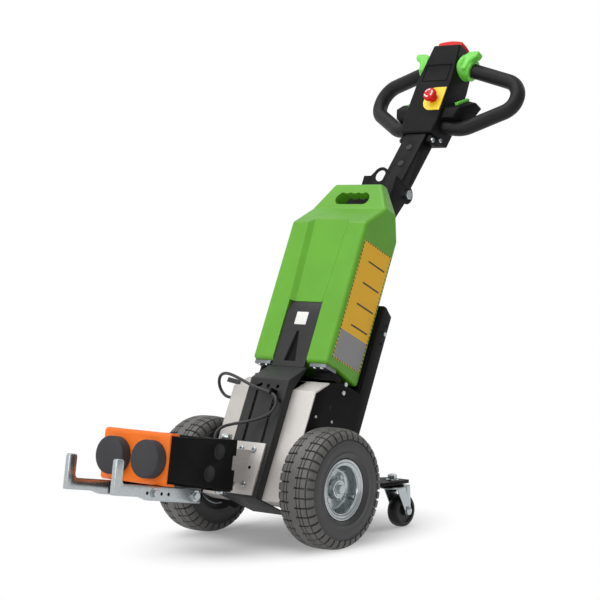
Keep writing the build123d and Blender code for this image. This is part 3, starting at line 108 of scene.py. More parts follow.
class TugColours(bpy.types.PropertyGroup):
    """Colours of the tug's finishes."""

    battery: colour("Battery green", "Moulded battery case", srgb(100, 170, 44))
    lever: colour("Lever green", "Thumb levers and buttons", srgb(112, 216, 72))
    powder: colour("Black powder", "Powder coat of the chassis", srgb(13, 13, 14))
    # A lighter copy of the black for the front-facing channel and tongue: painted light that stands in for
    # the light they catch
    satin: colour("Satin black", "Front channel and battery tongue", srgb(46, 46, 47))
    plastic: colour("Black plastic", "Tiller head", srgb(16, 16, 17))
    grip: colour("Grip", "Handle loops", srgb(27, 27, 29))
    orange: colour("Orange powder", "Hitch head", srgb(247, 118, 24))
    stainless: colour("Stainless", "Motor cover and hitch bracket", srgb(206, 202, 198))
    zinc: colour("Zinc", "Hooks, rims, forks and bolts", srgb(180, 186, 188))
    tyre: colour("Tyre rubber", "Drive tyres", srgb(52, 52, 53))
    tread: colour("Tread rubber", "Scuffed tread of the drive tyres", srgb(92, 91, 89))
    caster: colour("Caster rubber", "Caster wheels", srgb(26, 26, 27))
    buffer: colour("Buffer rubber", "Hitch buffers", srgb(58, 58, 61))
    red: colour("Signal red", "Stop button and belly switch", srgb(222, 34, 34))
    yellow: colour("Signal yellow", "Stop plate", srgb(250, 222, 44))
    label: colour("Label amber", "Battery label", srgb(246, 188, 20))
    cable: colour("Cable jacket", "Cable between cover and hitch", srgb(38, 38, 40))
    casting: colour("Casting", "Drive unit and axle housing", srgb(92, 94, 97))
    mark: colour("White mark", "Tongue label and stop arrows", srgb(238, 238, 234))
    floor: colour("Floor", "Studio floor", (0.86, 0.86, 0.86))


class TugSizes(bpy.types.PropertyGroup):
    """Sizes of the tug's added details."""

    lug_count: IntProperty(name="Lugs", description="Tread blocks round a tyre", min=8, default=38)
    tread_edge: length("Tread edge", "Rounding of the tread blocks", 0.0007)
    cut_edge: length("Cut edge", "Rounding of cut and folded sheet", 0.0008)
    bar_edge: length("Bar edge", "Rounding of the hook bars", 0.0022)
    moulded_edge: length("Moulded edge", "Rounding of the tiller head", 0.0024)
    cable: length("Cable", "Outside diameter of the cable", 0.007)
    label_lift: length("Label", "Thickness of stuck labels", 0.0004)
    plate_bolt: length("Plate bolt", "Corner radius of a plate bolt's head", 0.0056)
    rim_bolt: length("Rim bolt", "Corner radius of a wheel bolt's head", 0.0068)
    hook_bolt: length("Hook bolt", "Corner radius of a hook bolt's head", 0.0085)


def arithmetic(operation, swapped=False):
    """A Math node's operation as an operator of wires."""
    def apply(wire, other):
        first, second = (other, wire) if swapped else (wire, other)
        return wire.tree.maths(operation, first, second)

    return apply


class Wire:
    """An output of a shader tree. Sums, products and comparisons of wires add Math nodes."""

    def __init__(self, tree, socket):
        self.tree = tree
        self.socket = socket

    __add__ = arithmetic("ADD")
    __radd__ = arithmetic("ADD", swapped=True)
    __sub__ = arithmetic("SUBTRACT")
    __rsub__ = arithmetic("SUBTRACT", swapped=True)
    __mul__ = arithmetic("MULTIPLY")
    __gt__ = arithmetic("GREATER_THAN")
    __lt__ = arithmetic("LESS_THAN")
    __mod__ = arithmetic("FLOORED_MODULO")


class Tree:
    """A shader tree under construction."""

    def __init__(self, tree):
        self.tree = tree

    def node(self, kind, settings=None, inputs=None, output=0):
        made = self.tree.nodes.new(kind)
        for key, value in (settings or {}).items():
            setattr(made, key, value)
        for key, value in (inputs or {}).items():
            self.join(made.inputs[key], value)
        return Wire(self, made.outputs[output])

    def join(self, socket, value):
        if isinstance(value, Wire):
            self.tree.links.new(value.socket, socket)
        else:
            socket.default_value = value

    def place(self, scale=(1, 1, 1), turn=(0, 0, 0)):
        spot = self.node("ShaderNodeTexCoord", output="Object")
        return self.node("ShaderNodeMapping", inputs={"Vector": spot, "Scale": scale, "Rotation": turn})

    def noise(self, scale, detail=2.0, rough=0.5, spot=None):
        values = {"Vector": spot or self.place(), "Scale": scale, "Detail": detail, "Roughness": rough}
        return self.node("ShaderNodeTexNoise", inputs=values, output="Fac")

    def spots(self, scale):
        values = {"Vector": self.place(), "Scale": scale}
        return self.node("ShaderNodeTexVoronoi", inputs=values, output="Distance")

    def mix(self, share, first, second):
        values = {0: share, 6: first, 7: second}
        return self.node("ShaderNodeMix", {"data_type": "RGBA"}, values, output=2)

    def range(self, value, low, high, new_low=0, new_high=1):
        values = {0: value, 1: low, 2: high, 3: new_low, 4: new_high}
        return self.node("ShaderNodeMapRange", {"interpolation_type": "SMOOTHSTEP"}, values)

    def maths(self, operation, first, second):
        return self.node("ShaderNodeMath", {"operation": operation}, {0: first, 1: second})


class Paint(Tree):
    """A material under construction: a Principled shader, its constants and the nodes that vary it."""

    def __init__(self, name, constants=None):
        self.material = bpy.data.materials.new(name)
        self.material.use_nodes = True
        super().__init__(self.material.node_tree)
        self.shader = self.tree.nodes["Principled BSDF"]
        for socket, value in (constants or {}).items():
            self.shader.inputs[socket].default_value = value

    def feed(self, name, value):
        self.join(self.shader.inputs[name], value)

    def bump(self, height, strength, distance):
        values = {"Height": height, "Strength": strength, "Distance": distance}
        self.feed("Normal", self.node("ShaderNodeBump", inputs=values))


def shade(tone, factor):
    """A colour made lighter or darker, with full alpha."""
    return tuple(min(1, part * factor) for part in tone) + (1,)


# A painted skin's noise scales and how far its flecks, gloss and grain go
BLOTCH_SCALE = 9
FLECK_SCALE = 260
FLECK_SHARE = 0.35
GLOSS_SCALE = 34
GLOSS_SWING = 0.22
GRAIN_STRENGTH = 0.35
SHEEN = "Specular IOR Level"
# Painted and moulded skins: colour, roughness, grain scale, grain depth, colour spread and constants
COATS = {
    "battery_green": ("battery", 0.34, 420, 0.0004, 0.05, {SHEEN: 0.4}),
    "lever_green": ("lever", 0.34, 700, 0.0003, 0.05, {"Coat Weight": 0.1, "Coat Roughness": 0.2}),
    "black_powder": ("powder", 0.42, 900, 0.0004, 0.14, {SHEEN: 0.11}),
    # The lighter black of the front-facing channel and tongue carries painted light
    "satin_black": ("satin", 0.46, 900, 0.0004, 0.1, {SHEEN: 0.24}),
    "orange_powder": ("orange", 0.46, 900, 0.0003, 0.04, {SHEEN: 0.3}),
    "black_plastic": ("plastic", 0.5, 1500, 0.0005, 0.1, {SHEEN: 0.11}),
    "grip_foam": ("grip", 0.44, 1900, 0.0006, 0.12, {SHEEN: 0.19}),
    "cable_jacket": ("cable", 0.42, 800, 0.0003, 0.12, {}),
    "stop_red": ("red", 0.4, 500, 0.0002, 0.05, {SHEEN: 0.2}),
    "plate_yellow": ("yellow", 0.42, 500, 0.0002, 0.04, {}),
    "buffer_rubber": ("buffer", 0.78, 1100, 0.0007, 0.1, {SHEEN: 0.35}),
    "caster_rubber": ("caster", 0.4, 900, 0.0003, 0.12, {SHEEN: 0.35}),
    "drive_casting": ("casting", 0.5, 500, 0.001, 0.15, {"Metallic": 0.6}),
    "tyre_rubber": ("tyre", 0.38, 800, 0.0004, 0.14, {SHEEN: 0.5}),
    "tread_rubber": ("tread", 0.5, 800, 0.0004, 0.16, {SHEEN: 0.5}),
    "white_mark": ("mark", 0.4, 500, 0.0001, 0.03, {}),
}


def coat(name, tones):
    """A painted or moulded skin: soft blotches of colour, an uneven gloss and a fine grain."""
    key, rough, grain, depth, spread, constants = COATS[name]
    tone = getattr(tones, key)
    paint = Paint(name, constants)
    blotch = paint.range(paint.noise(BLOTCH_SCALE, 4, 0.6), 0.3, 0.7)
    fleck = paint.range(paint.noise(FLECK_SCALE, 3, 0.6), 0.62, 0.8, 0, FLECK_SHARE)
    tinted = paint.mix(blotch, shade(tone, 1 - spread), shade(tone, 1 + spread))
    paint.feed("Base Color", paint.mix(fleck, tinted, shade(tone, 1 + 2 * spread)))
    paint.feed("Roughness", rough + (paint.noise(GLOSS_SCALE, 3, 0.55) - 0.5) * GLOSS_SWING)
    paint.bump(paint.noise(grain, 2, 0.5), GRAIN_STRENGTH, depth)
    return paint


# A bare metal's noise scale for stains, and how far its lines and stains change the polish
STAIN_SCALE = 14
LINE_SWING = 0.18
STAIN_SWING = 0.16
LINE_STRENGTH = 0.25
LINE_DEPTH = 0.0004
# Grain of brushed sheet along the lean, and of worn steel
BRUSH_SCALE = (700, 12, 700)
BRUSH_TURN = (radians(LEAN_DEGREES - 90), 0, 0)
WEAR_SCALE = (60, 60, 60)
WEAR_SHADE = 0.45


def metal(name, tone, rough, metallic, scale, turn=(0, 0, 0)):
    """A bare metal with a directional grain, faint stains and an uneven polish."""
    paint = Paint(name, {"Metallic": metallic})
    lines = paint.noise(1, 3, 0.6, paint.place(scale, turn))
    stain = paint.noise(STAIN_SCALE, 4, 0.6)
    base = paint.mix(paint.range(lines, 0.3, 0.7), shade(tone, 0.86), shade(tone, 1.06))
    paint.feed("Base Color", paint.mix(paint.range(stain, 0.55, 0.8, 0, 0.5), base, shade(tone, 0.8)))
    paint.feed("Roughness", rough + (lines - 0.5) * LINE_SWING + (stain - 0.5) * STAIN_SWING)
    paint.bump(lines, LINE_STRENGTH, LINE_DEPTH)
    return paint


def stainless(tones):
    return metal("stainless", tones.stainless, 0.46, 0.35, BRUSH_SCALE, BRUSH_TURN)


def worn_steel(tones):
    return metal("worn_steel", shade(tones.zinc, WEAR_SHADE)[:3], 0.4, 0.85, WEAR_SCALE)


CRYSTAL_SCALE = 160
HAZE_SCALE = 30
HAZE_SWING = 0.14
ZINC_ROUGH = 0.2


def zinc(tones):
    """Bright zinc plating with small crystals, bluish and a little milky."""
    tone = tones.zinc
    paint = Paint("zinc", {"Metallic": 0.9})
    crystal = paint.spots(CRYSTAL_SCALE)
    haze = paint.noise(HAZE_SCALE, 3, 0.5)
    base = paint.mix(paint.range(crystal, 0.1, 0.7), shade(tone, 1.03), shade(tone, 0.95))
    paint.feed("Base Color", paint.mix(paint.range(haze, 0.5, 0.8, 0, 0.4), base, shade(tone, 0.86)))
    paint.feed("Roughness", ZINC_ROUGH + (haze - 0.5) * HAZE_SWING)
    return paint


# The battery label's parts, as shares of its width and height
LABEL_BORDER = (0.026, 0.0097)
LABEL_DASHES = (11.2, 30)
LABEL_GREY_TOP = 0.245
LABEL_BAR_WIDTH = (0.3, 0.9)
LABEL_BAR_SPAN = (0.3, 0.93)
LABEL_BAR_FIRST = 0.31
LABEL_BAR_STEP = 0.18
LABEL_BAR_THICK = 0.014
LABEL_DARK = srgb(34, 32, 28) + (1,)
LABEL_GREY = srgb(146, 146, 147) + (1,)
LABEL_GRIME = srgb(150, 130, 60) + (1,)


def battery_label(tones):
    """A stuck label: dashed border, amber field with plain bars and a grey lower field, all blank."""
    paint = Paint("battery_label")
    spot = paint.node("ShaderNodeTexCoord", output="UV")
    across = paint.node("ShaderNodeSeparateXYZ", inputs={0: spot}, output=0)
    along = paint.node("ShaderNodeSeparateXYZ", inputs={0: spot}, output=1)
    sides = paint.maths("MINIMUM", across, 1 - across) < LABEL_BORDER[0]
    ends = paint.maths("MINIMUM", along, 1 - along) < LABEL_BORDER[1]
    dashes = ((across * LABEL_DASHES[0] + along * LABEL_DASHES[1]) % 1.0) < 0.5
    amber = tones.label[:] + (1,)
    grime = paint.noise(60, 3, 0.6)
    field = paint.mix(along < LABEL_GREY_TOP, amber, LABEL_GREY)
    field = paint.mix(paint.range(grime, 0.5, 0.8, 0, 0.12), field, LABEL_GRIME)
    bars = ((along - LABEL_BAR_FIRST) % LABEL_BAR_STEP) < LABEL_BAR_THICK
    bars = bars * (along > LABEL_BAR_SPAN[0]) * (along < LABEL_BAR_SPAN[1])
    bars = bars * (across > LABEL_BAR_WIDTH[0]) * (across < LABEL_BAR_WIDTH[1])
    field = paint.mix(bars, field, LABEL_DARK)
    paint.feed("Base Color", paint.mix((sides + ends) > 0.5, field, paint.mix(dashes, amber, LABEL_DARK)))
    paint.feed("Roughness", 0.4 + (grime - 0.5) * 0.2)
    return paint


SPECIAL_FINISHES = {
    "stainless": stainless, "worn_steel": worn_steel, "zinc": zinc, "battery_label": battery_label
}
PAINTS = {}


def finish(name):
    """A finish's material, made once."""
    if name not in PAINTS:
        tones = bpy.context.scene.tug_colours
        paint = coat(name, tones) if name in COATS else SPECIAL_FINISHES[name](tones)
        PAINTS[name] = paint.material
    return PAINTS[name]


def meshed(bm, name):
    """A mesh made of a bmesh, which is freed."""
    mesh = bpy.data.meshes.new(name)
    bm.to_mesh(mesh)
    bm.free()
    return mesh


def placed(name, data):
    """A new object in the scene."""
    thing = bpy.data.objects.new(name, data)
    bpy.context.scene.collection.objects.link(thing)
    return thing


def add_piece(bm, name, body, slot, replaced=(), skin=None, smooth=32):
    """Turn a bmesh into a named piece that rides a body, wears a finish and stands for some nodes."""
    bm.normal_update()
    mesh = meshed(bm, name)
    mesh.shade_smooth()
    mesh.set_sharp_from_angle(angle=radians(smooth))
    mesh.materials.append(finish(skin or slot))
    piece = placed(name, mesh)
    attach(piece, body)
    if replaced:
        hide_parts(*replaced)
    return piece


def move(bm, place):
    """Set a bmesh in its place."""
    bmesh.ops.transform(bm, matrix=place, verts=bm.verts)
    return bm


def join(target, source):
    """Add one bmesh to another and free it."""
    mesh = meshed(source, "joining")
    target.from_mesh(mesh)
    bpy.data.meshes.remove(mesh)


def round_edges(bm, edges, width, segments=2):
    """Round some edges of a bmesh."""
    bmesh.ops.bevel(
        bm, geom=edges, offset=width, offset_type="OFFSET", segments=segments, profile=0.5,
        affect="EDGES", material=-1, clamp_overlap=False, loop_slide=True,
    )


def sharp_edges(bm, degrees):
    """Edges whose faces turn by more than an angle."""
    return [e for e in bm.edges if len(e.link_faces) == 2 and e.calc_face_angle(0) > radians(degrees)]


def copied(node):
    """A node's mesh with its corners merged and its flat faces whole."""
    bm = bmesh.new()
    bm.from_mesh(frame["nodes"][node].data)
    bmesh.ops.remove_doubles(bm, verts=bm.verts, dist=2e-6)
    bmesh.ops.dissolve_limit(
        bm, angle_limit=radians(0.3), use_dissolve_boundaries=False, verts=bm.verts, edges=bm.edges
    )
    return bm


def ease(node, width, degrees=35, segments=2, skin=None):
    """Stand in for a node with the same form and rounded edges."""
    bm = copied(node)
    round_edges(bm, sharp_edges(bm, degrees), width, segments)
    add_piece(bm, f"{node}_eased", NODE_BODY[node], NODE_SLOT[node], [node], skin)


def drawn(bm, outline):
    """New corners of a bmesh in its XZ plane, at (out, up) points in millimetres."""
    return [bm.verts.new(Vector((out, 0, up)) * MM) for out, up in outline]


def spin(bm, parts, angle, steps, **how):
    """Sweep or repeat parts of a bmesh about Z."""
    bmesh.ops.spin(bm, geom=parts, cent=(0, 0, 0), axis=(0, 0, 1), angle=angle, steps=steps, **how)


def turned(outline, place=Matrix.Identity(4), steps=48, ring=False):
    """A solid turned about Z from (radius, height) points in millimetres, set in its place."""
    bm = bmesh.new()
    points = drawn(bm, outline)
    pairs = list(zip(points, points[1:] + points[:1])) if ring else list(zip(points, points[1:]))
    edges = [bm.edges.new(pair) for pair in pairs]
    spin(bm, points + edges, 2 * pi, steps, use_merge=True)
    bmesh.ops.remove_doubles(bm, verts=bm.verts, dist=1e-6)
    bmesh.ops.recalc_face_normals(bm, faces=bm.faces)
    return move(bm, place)


def wedge(outline, sweep, steps):
    """A block that fills an angle about Z, from (radius, height) points in millimetres."""
    bm = bmesh.new()
    face = bm.faces.new(drawn(bm, outline))
    bmesh.ops.rotate(bm, verts=bm.verts, cent=(0, 0, 0), matrix=Matrix.Rotation(-sweep / 2, 3, "Z"))
    spin(bm, [face, *face.edges, *face.verts], sweep, steps)
    bmesh.ops.recalc_face_normals(bm, faces=bm.faces)
    return bm


def repeat(bm, count):
    """Repeat a bmesh at equal steps about Z."""
    step = 2 * pi / count
    spin(bm, [*bm.verts, *bm.edges, *bm.faces], 2 * pi - step, count - 1, use_duplicate=True)
    return bm


def slab(place, width, depth, height, edge):
    """A block with rounded edges, centred on its place."""
    bm = bmesh.new()
    bmesh.ops.create_cube(bm, size=1, matrix=Matrix.Diagonal((width, depth, height, 1)))
    round_edges(bm, list(bm.edges), edge)
    return move(bm, place)


def thicken(bm, shift):
    """Make a flat bmesh a solid, with its other face shifted."""
    made = bmesh.ops.extrude_face_region(bm, geom=list(bm.faces), use_keep_orig=True)
    moved = [item for item in made["geom"] if isinstance(item, bmesh.types.BMVert)]
    bmesh.ops.translate(bm, verts=moved, vec=shift)
    bmesh.ops.recalc_face_normals(bm, faces=bm.faces)


def profile(outline, place, depth, edge):
    """A plate with rounded edges, cut to (across, up) points in millimetres and set back by its depth."""
    bm = bmesh.new()
    bm.faces.new(drawn(bm, outline))
    thicken(bm, (0, depth, 0))
    rims = [e for e in bm.edges if abs(e.verts[0].co.y - e.verts[1].co.y) < depth / 2]
    round_edges(bm, rims, edge, 3)
    return move(bm, place)


def hex_bolt(bm, place, radius, height, washer=0.0):
    """A chamfered hex head on a washer, standing on the place's XY plane."""
    head = bmesh.new()
    middle = Matrix.Translation((0, 0, washer + height / 2))
    bmesh.ops.create_cone(
        head, cap_ends=True, segments=6, radius1=radius, radius2=radius, depth=height, matrix=middle
    )
    rim = [e for e in head.edges if all(v.co.z > washer + height * 0.9 for v in e.verts)]
    round_edges(head, rim, height * 0.16, 1)
    join(bm, move(head, place))
    if washer:
        wide, thick = radius * 1.42 / MM, washer / MM
        outline = [(0, 0), (wide, 0), (wide, thick * 0.7), (wide - 0.6, thick), (0, thick)]
        join(bm, turned(outline, place, 28))


def socket_screw(bm, place, radius, height):
    """A domed screw with a hex socket, standing on the place's XY plane, in millimetres."""
    outline = [
        (0, 0), (radius, 0), (radius, height * 0.35), (radius * 0.9, height * 0.75), (radius * 0.68, height),
        (radius * 0.46, height), (radius * 0.42, height * 0.35), (0, height * 0.3),
    ]
    head = turned(outline, steps=24)
    for vert in head.verts:
        flat = vert.co.xy.length / MM
        if 0.3 * radius < flat < 0.5 * radius:
            angle = vert.co.xy.angle_signed(Vector((1, 0)))
            vert.co.xy *= cos(pi / 6) / cos((angle % (pi / 3)) - pi / 6)
    join(bm, move(head, place))


def painted_hole_shade(bm, place, radius):
    """A shallow black dish whose painted shade stands in for a drilled hole's dark inside, sized in
    millimetres.
    """
    outline = [(0, 0), (radius * 1.1, 0), (radius, 0.4), (radius * 0.9, 0.12), (0, 0.12)]
    join(bm, turned(outline, place, 20))


def at(base, across, back, up, facing="up"):
    """A place in a leaning frame, in millimetres, and the way it points."""
    return base @ Matrix.Translation(Vector((across, back, up)) * MM) @ FACING[facing]


def reach(node, base):
    """A node's lowest and highest corners in a leaning frame, in millimetres."""
    turn = base.inverted()
    spots = [(turn @ vert.co) / MM for vert in frame["nodes"][node].data.vertices]
    return [min(axis) for axis in zip(*spots)], [max(axis) for axis in zip(*spots)]


def seat(node, base):
    """The middle of a node's back in a leaning frame, pointing to the front."""
    low, high = reach(node, base)
    return at(base, (low[0] + high[0]) / 2, high[1], (low[2] + high[2]) / 2, "front")


# The camera's place, its drop below level, turn and field of view in degrees
CAMERA_SPOT = (2.7619, -3.2626, 0.7384)
CAMERA_DROP = 2.88
CAMERA_TURN = 40.08
CAMERA_FIELD = 17.73
SENSOR_WIDTH = 36
# Soft lamps: name, place, diameter and watts
LAMPS = [
    ("overhead", (-0.5, -0.6, 3.6), 3.2, 56),
    ("key", (-0.8, -3.6, 1.9), 2.6, 30),
    ("fill", (1.3, -3.4, 0.7), 1.2, 13),
    ("rim", (0.8, 3.2, 2.4), 2.2, 12),
]
LAMP_TARGET = Vector((0, 0, 0.5))
# The surround's light from its dark side to its bright side, for diffuse and for mirrored rays
BRIGHT_SIDE = Vector((-0.50, -0.66, 0.52)).normalized()
BRIGHT_RANGE = (-0.7, 1.0)
SOFT_LIGHT = (0.18, 0.62)
GLEAM_LIGHT = (0.4, 1.0)
# The floor's fade to white: stretch of the plan, and two distances with their whiteness
FLOOR_RADIUS = 30
FLOOR_STRETCH = (2.2, 1.3, 1)
FLOOR_FADE = (0.3, 0.66, 0.2, 1)


class TUG_OT_stage(bpy.types.Operator):
    """Set the camera, the soft lights, the white surround and the floor"""

    bl_idname = "tug.stage"
    bl_label = "Stage"

    def execute(self, context):
        scene = context.scene
        scene.view_settings.view_transform = "Standard"
        camera = placed("camera", bpy.data.cameras.new("camera"))
        camera.data.sensor_width = SENSOR_WIDTH
        camera.data.lens = SENSOR_WIDTH / 2 / tan(radians(CAMERA_FIELD) / 2)
        camera.data.clip_end = 2 * FLOOR_RADIUS
        camera.location = CAMERA_SPOT
        camera.rotation_euler = (radians(90 - CAMERA_DROP), 0, radians(CAMERA_TURN))
        scene.camera = camera
        for lamp in LAMPS:
            self.add_lamp(*lamp)
        self.surround(scene)
        self.floor(scene)
        return {"FINISHED"}

    def add_lamp(self, name, spot, size, watts):
        lamp = placed(name, bpy.data.lights.new(name, "AREA"))
        lamp.data.shape = "DISK"
        lamp.data.size = size
        lamp.data.energy = watts
        lamp.location = spot
        aim = LAMP_TARGET - Vector(spot)
        lamp.rotation_euler = aim.to_track_quat("-Z", "Y").to_euler()

    def surround(self, scene):
        """White to the eye, brighter to the object on the lit side."""
        world = bpy.data.worlds.new("surround")
        world.use_nodes = True
        scene.world = world
        sky = Tree(world.node_tree)
        aim = sky.node("ShaderNodeTexCoord", output="Generated")
        dot = {"operation": "DOT_PRODUCT"}
        facing = sky.node("ShaderNodeVectorMath", dot, {0: aim, 1: BRIGHT_SIDE}, "Value")
        seen = sky.node("ShaderNodeLightPath", output="Is Camera Ray")
        through = sky.node("ShaderNodeLightPath", output="Is Transmission Ray")
        glossy = sky.node("ShaderNodeLightPath", output="Is Glossy Ray")
        white = sky.maths("MAXIMUM", seen, through)
        soft = sky.range(facing, *BRIGHT_RANGE, *SOFT_LIGHT)
        gleam = sky.range(facing, *BRIGHT_RANGE, *GLEAM_LIGHT)
        strength = white + (1 - white) * (glossy * gleam + (1 - glossy) * soft)
        background = world.node_tree.nodes["Background"]
        background.inputs["Color"].default_value = (1, 1, 1, 1)
        sky.join(background.inputs["Strength"], strength)

    def floor(self, scene):
        """A pale disc that keeps the shadow and fades to white away from the object."""
        bm = bmesh.new()
        bmesh.ops.create_circle(bm, cap_ends=True, segments=96, radius=FLOOR_RADIUS)
        mesh = meshed(bm, "floor")
        ground = placed("floor", mesh)
        paint = Paint("floor", {"Roughness": 0.9})
        paint.feed("Base Color", scene.tug_colours.floor[:] + (1,))
        plan = paint.place(FLOOR_STRETCH)
        distance = paint.node("ShaderNodeVectorMath", {"operation": "LENGTH"}, {0: plan}, "Value")
        away = paint.range(distance, *FLOOR_FADE)
        seen = paint.node("ShaderNodeLightPath", output="Is Camera Ray")
        glossy = paint.node("ShaderNodeLightPath", output="Is Glossy Ray")
        white = paint.node("ShaderNodeEmission", inputs={"Color": (1, 1, 1, 1), "Strength": 1.0})
        plain = Wire(paint, paint.shader.outputs[0])
        blend = paint.node("ShaderNodeMixShader", inputs={0: away * (seen + glossy), 1: plain, 2: white})
        paint.join(paint.tree.nodes["Material Output"].inputs["Surface"], blend)
        mesh.materials.append(paint.material)


# The cable's route in the leaning frame, in millimetres: bracket, loop over the cover, side plate
CABLE_ROUTE = [
    (-36, -63, -246), (-36, -82, -246), (-44, -99, -239), (-51, -108, -219), (-49, -100, -197),
    (-37, -80, -181), (-17, -66, -171), (8, -59, -160), (32, -57, -150), (47, -56, -135), (50, -56, -114),
    (36, -56, -98), (10, -56, -92), (-30, -57, -84), (-80, -58, -67), (-118, -54, -57), (-142, -47, -59),
    (-153, -37, -70), (-154, -26, -84), (-147, -17, -95), (-135, -13, -101), (-119, -12, -101),
]


class TUG_OT_cable(bpy.types.Operator):
    """Lay the cable from the hitch bracket over the cover and into the side plate"""

    bl_idname = "tug.cable"
    bl_label = "Cable"

    def execute(self, context):
        diameter = context.scene.tug_sizes.cable
        route = [LEAN @ (Vector(point) * MM) for point in CABLE_ROUTE]
        line = bpy.data.curves.new("cable_run", "CURVE")
        line.dimensions = "3D"
        line.bevel_depth = diameter / 2
        line.bevel_resolution = 5
        line.resolution_u = 10
        line.use_fill_caps = True
        spline = line.splines.new("NURBS")
        spline.points.add(len(route) - 1)
        for knot, point in zip(spline.points, route):
            knot.co = point.to_4d()
        spline.order_u = 3
        spline.use_endpoint_u = True
        cable = placed("cable_run", line)
        line.materials.append(finish("cable_jacket"))
        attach(cable, "chassis")
        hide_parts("cable")
        return {"FINISHED"}


class TUG_OT_finishes(bpy.types.Operator):
    """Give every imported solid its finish"""

    bl_idname = "tug.finishes"
    bl_label = "Finishes"

    def execute(self, context):
        for name, node in frame["nodes"].items():
            skin = "grip_foam" if name.startswith("handle_loop") else NODE_SLOT[name]
            node.material_slots[0].material = finish(skin)
        return {"FINISHED"}


# Half of a tyre's body from bead to crown, as (radius, across) in millimetres
CARCASS = [
    (66.2, 33), (67.5, 37.5), (71, 40.5), (75, 42.6), (77.2, 43.6), (78.2, 44.6), (79.4, 44.6),
    (80.4, 44.2), (88, 45.2), (96, 45.4), (101.4, 44.9), (102.4, 45.5), (103.6, 45.4), (104.6, 44.2),
    (110, 42.8), (115, 40), (119.5, 36), (122.5, 29), (123.6, 20), (124, 10), (124, 0),
]
TYRE_STEPS = 120
# The tread's centre band and shoulder block, as (radius, across)
BAND = [(122, -7), (130, -7), (130, 7), (122, 7)]
SHOULDER = [
    (116, 35.6), (125.4, 35.6), (122.5, 40), (117, 43.6), (112, 45.2), (108.5, 45.4), (108, 44), (113, 40),
]
# Tread blocks of one side: outline, and the share of a lug's pitch that is rubber
TREAD = [
    ([(122, 5.5), (130, 5.5), (130, 12), (122, 12)], 0.82),
    ([(122, 13.8), (129.9, 13.8), (129.4, 20.2), (122, 20.2)], 0.84),
    ([(121, 22), (129.2, 22), (128.2, 28), (126.3, 33.8), (118, 33.8)], 0.84),
    (SHOULDER, 0.74),
]


def wheel_place(side, sign):
    """A drive wheel's middle, with Z outward along the axle."""
    return Matrix.Translation(AXLE + Vector((sign * WHEEL_CENTRE, 0, 0))) @ FACING[side]


class TUG_OT_tyres(bpy.types.Operator):
    """Mould the drive tyres with their centre band and tread blocks"""

    bl_idname = "tug.tyres"
    bl_label = "Drive tyres"

    def execute(self, context):
        sizes = context.scene.tug_sizes
        pitch = 2 * pi / sizes.lug_count
        section = CARCASS + [(out, -across) for out, across in reversed(CARCASS[:-1])]
        for side, sign in SIDES:
            place = wheel_place(side, sign)
            body = f"wheel_{side}"
            carcass = turned(section, place, TYRE_STEPS, ring=True)
            add_piece(carcass, f"tyre_body_{side}", body, "tyre_rubber", [f"tyre_{side}"])
            bm = turned(BAND, steps=TYRE_STEPS, ring=True)
            for outline, share in TREAD:
                for mirror in (1, -1):
                    block = wedge([(out, mirror * across) for out, across in outline], pitch * share, 2)
                    round_edges(block, sharp_edges(block, 30), sizes.tread_edge, 1)
                    turn = Matrix.Rotation(pitch / 4 * mirror, 4, "Z")
                    join(bm, repeat(move(block, turn), sizes.lug_count))
            add_piece(move(bm, place), f"tyre_tread_{side}", body, "tyre_rubber", skin="tread_rubber")
        return {"FINISHED"}


# A rim's section from its outer lip round to the tyre's seat, as (radius, outward) in millimetres
RIM = [
    (66.2, 35.2), (66.2, 36.6), (65.6, 37.8), (64.2, 38.4), (62.4, 38.2), (61.2, 37), (60.2, 36.8),
    (59.2, 37.5), (58, 37.6), (57, 36.8), (55.6, 36.2), (53.4, 35.6), (51.6, 34), (50.6, 31), (49.8, 26),
    (48.8, 20), (47.4, 14), (45.2, 9.6), (43, 7.6), (41, 7), (23.5, 7), (21.6, 7.8), (20.8, 9.6),
    (20.4, 23.8), (19.4, 25.4), (10.1, 25.8), (10.1, -39), (19, -39), (20, -38), (20, 3.4), (44, 3.4),
    (47, 2), (48.6, -4), (48.7, -33), (51, -36), (57, -37.4), (63, -38.2), (65.4, -37.6), (66.2, -36.4),
    (66.2, -35.2), (51.8, -35.2), (51.8, 35.2),
]
RIM_STEPS = 96
# Where the disc's bolts, the axle's nut and the valve stand, out from the axle and outward
DISC_BOLTS = 4
DISC_BOLT_SPOT = (0.033, 0, 0.007)
AXLE_NUT_SPOT = (0, 0, 0.0258)
VALVE_SPOT = (0.042, 0, 0.0075)
VALVE_TURN = radians(64)
VALVE_LEAN = radians(9)
# Heads as height and washer, and as corner radius, height and washer
DISC_BOLT_HEAD = (0.006, 0.0014)
AXLE_NUT = (0.0105, 0.0072, 0.0016)
VALVE = [(0, 0), (5, 0), (4.6, 4), (3.2, 6), (3.2, 16), (4, 16.6), (4, 24), (3.2, 25), (0, 25)]


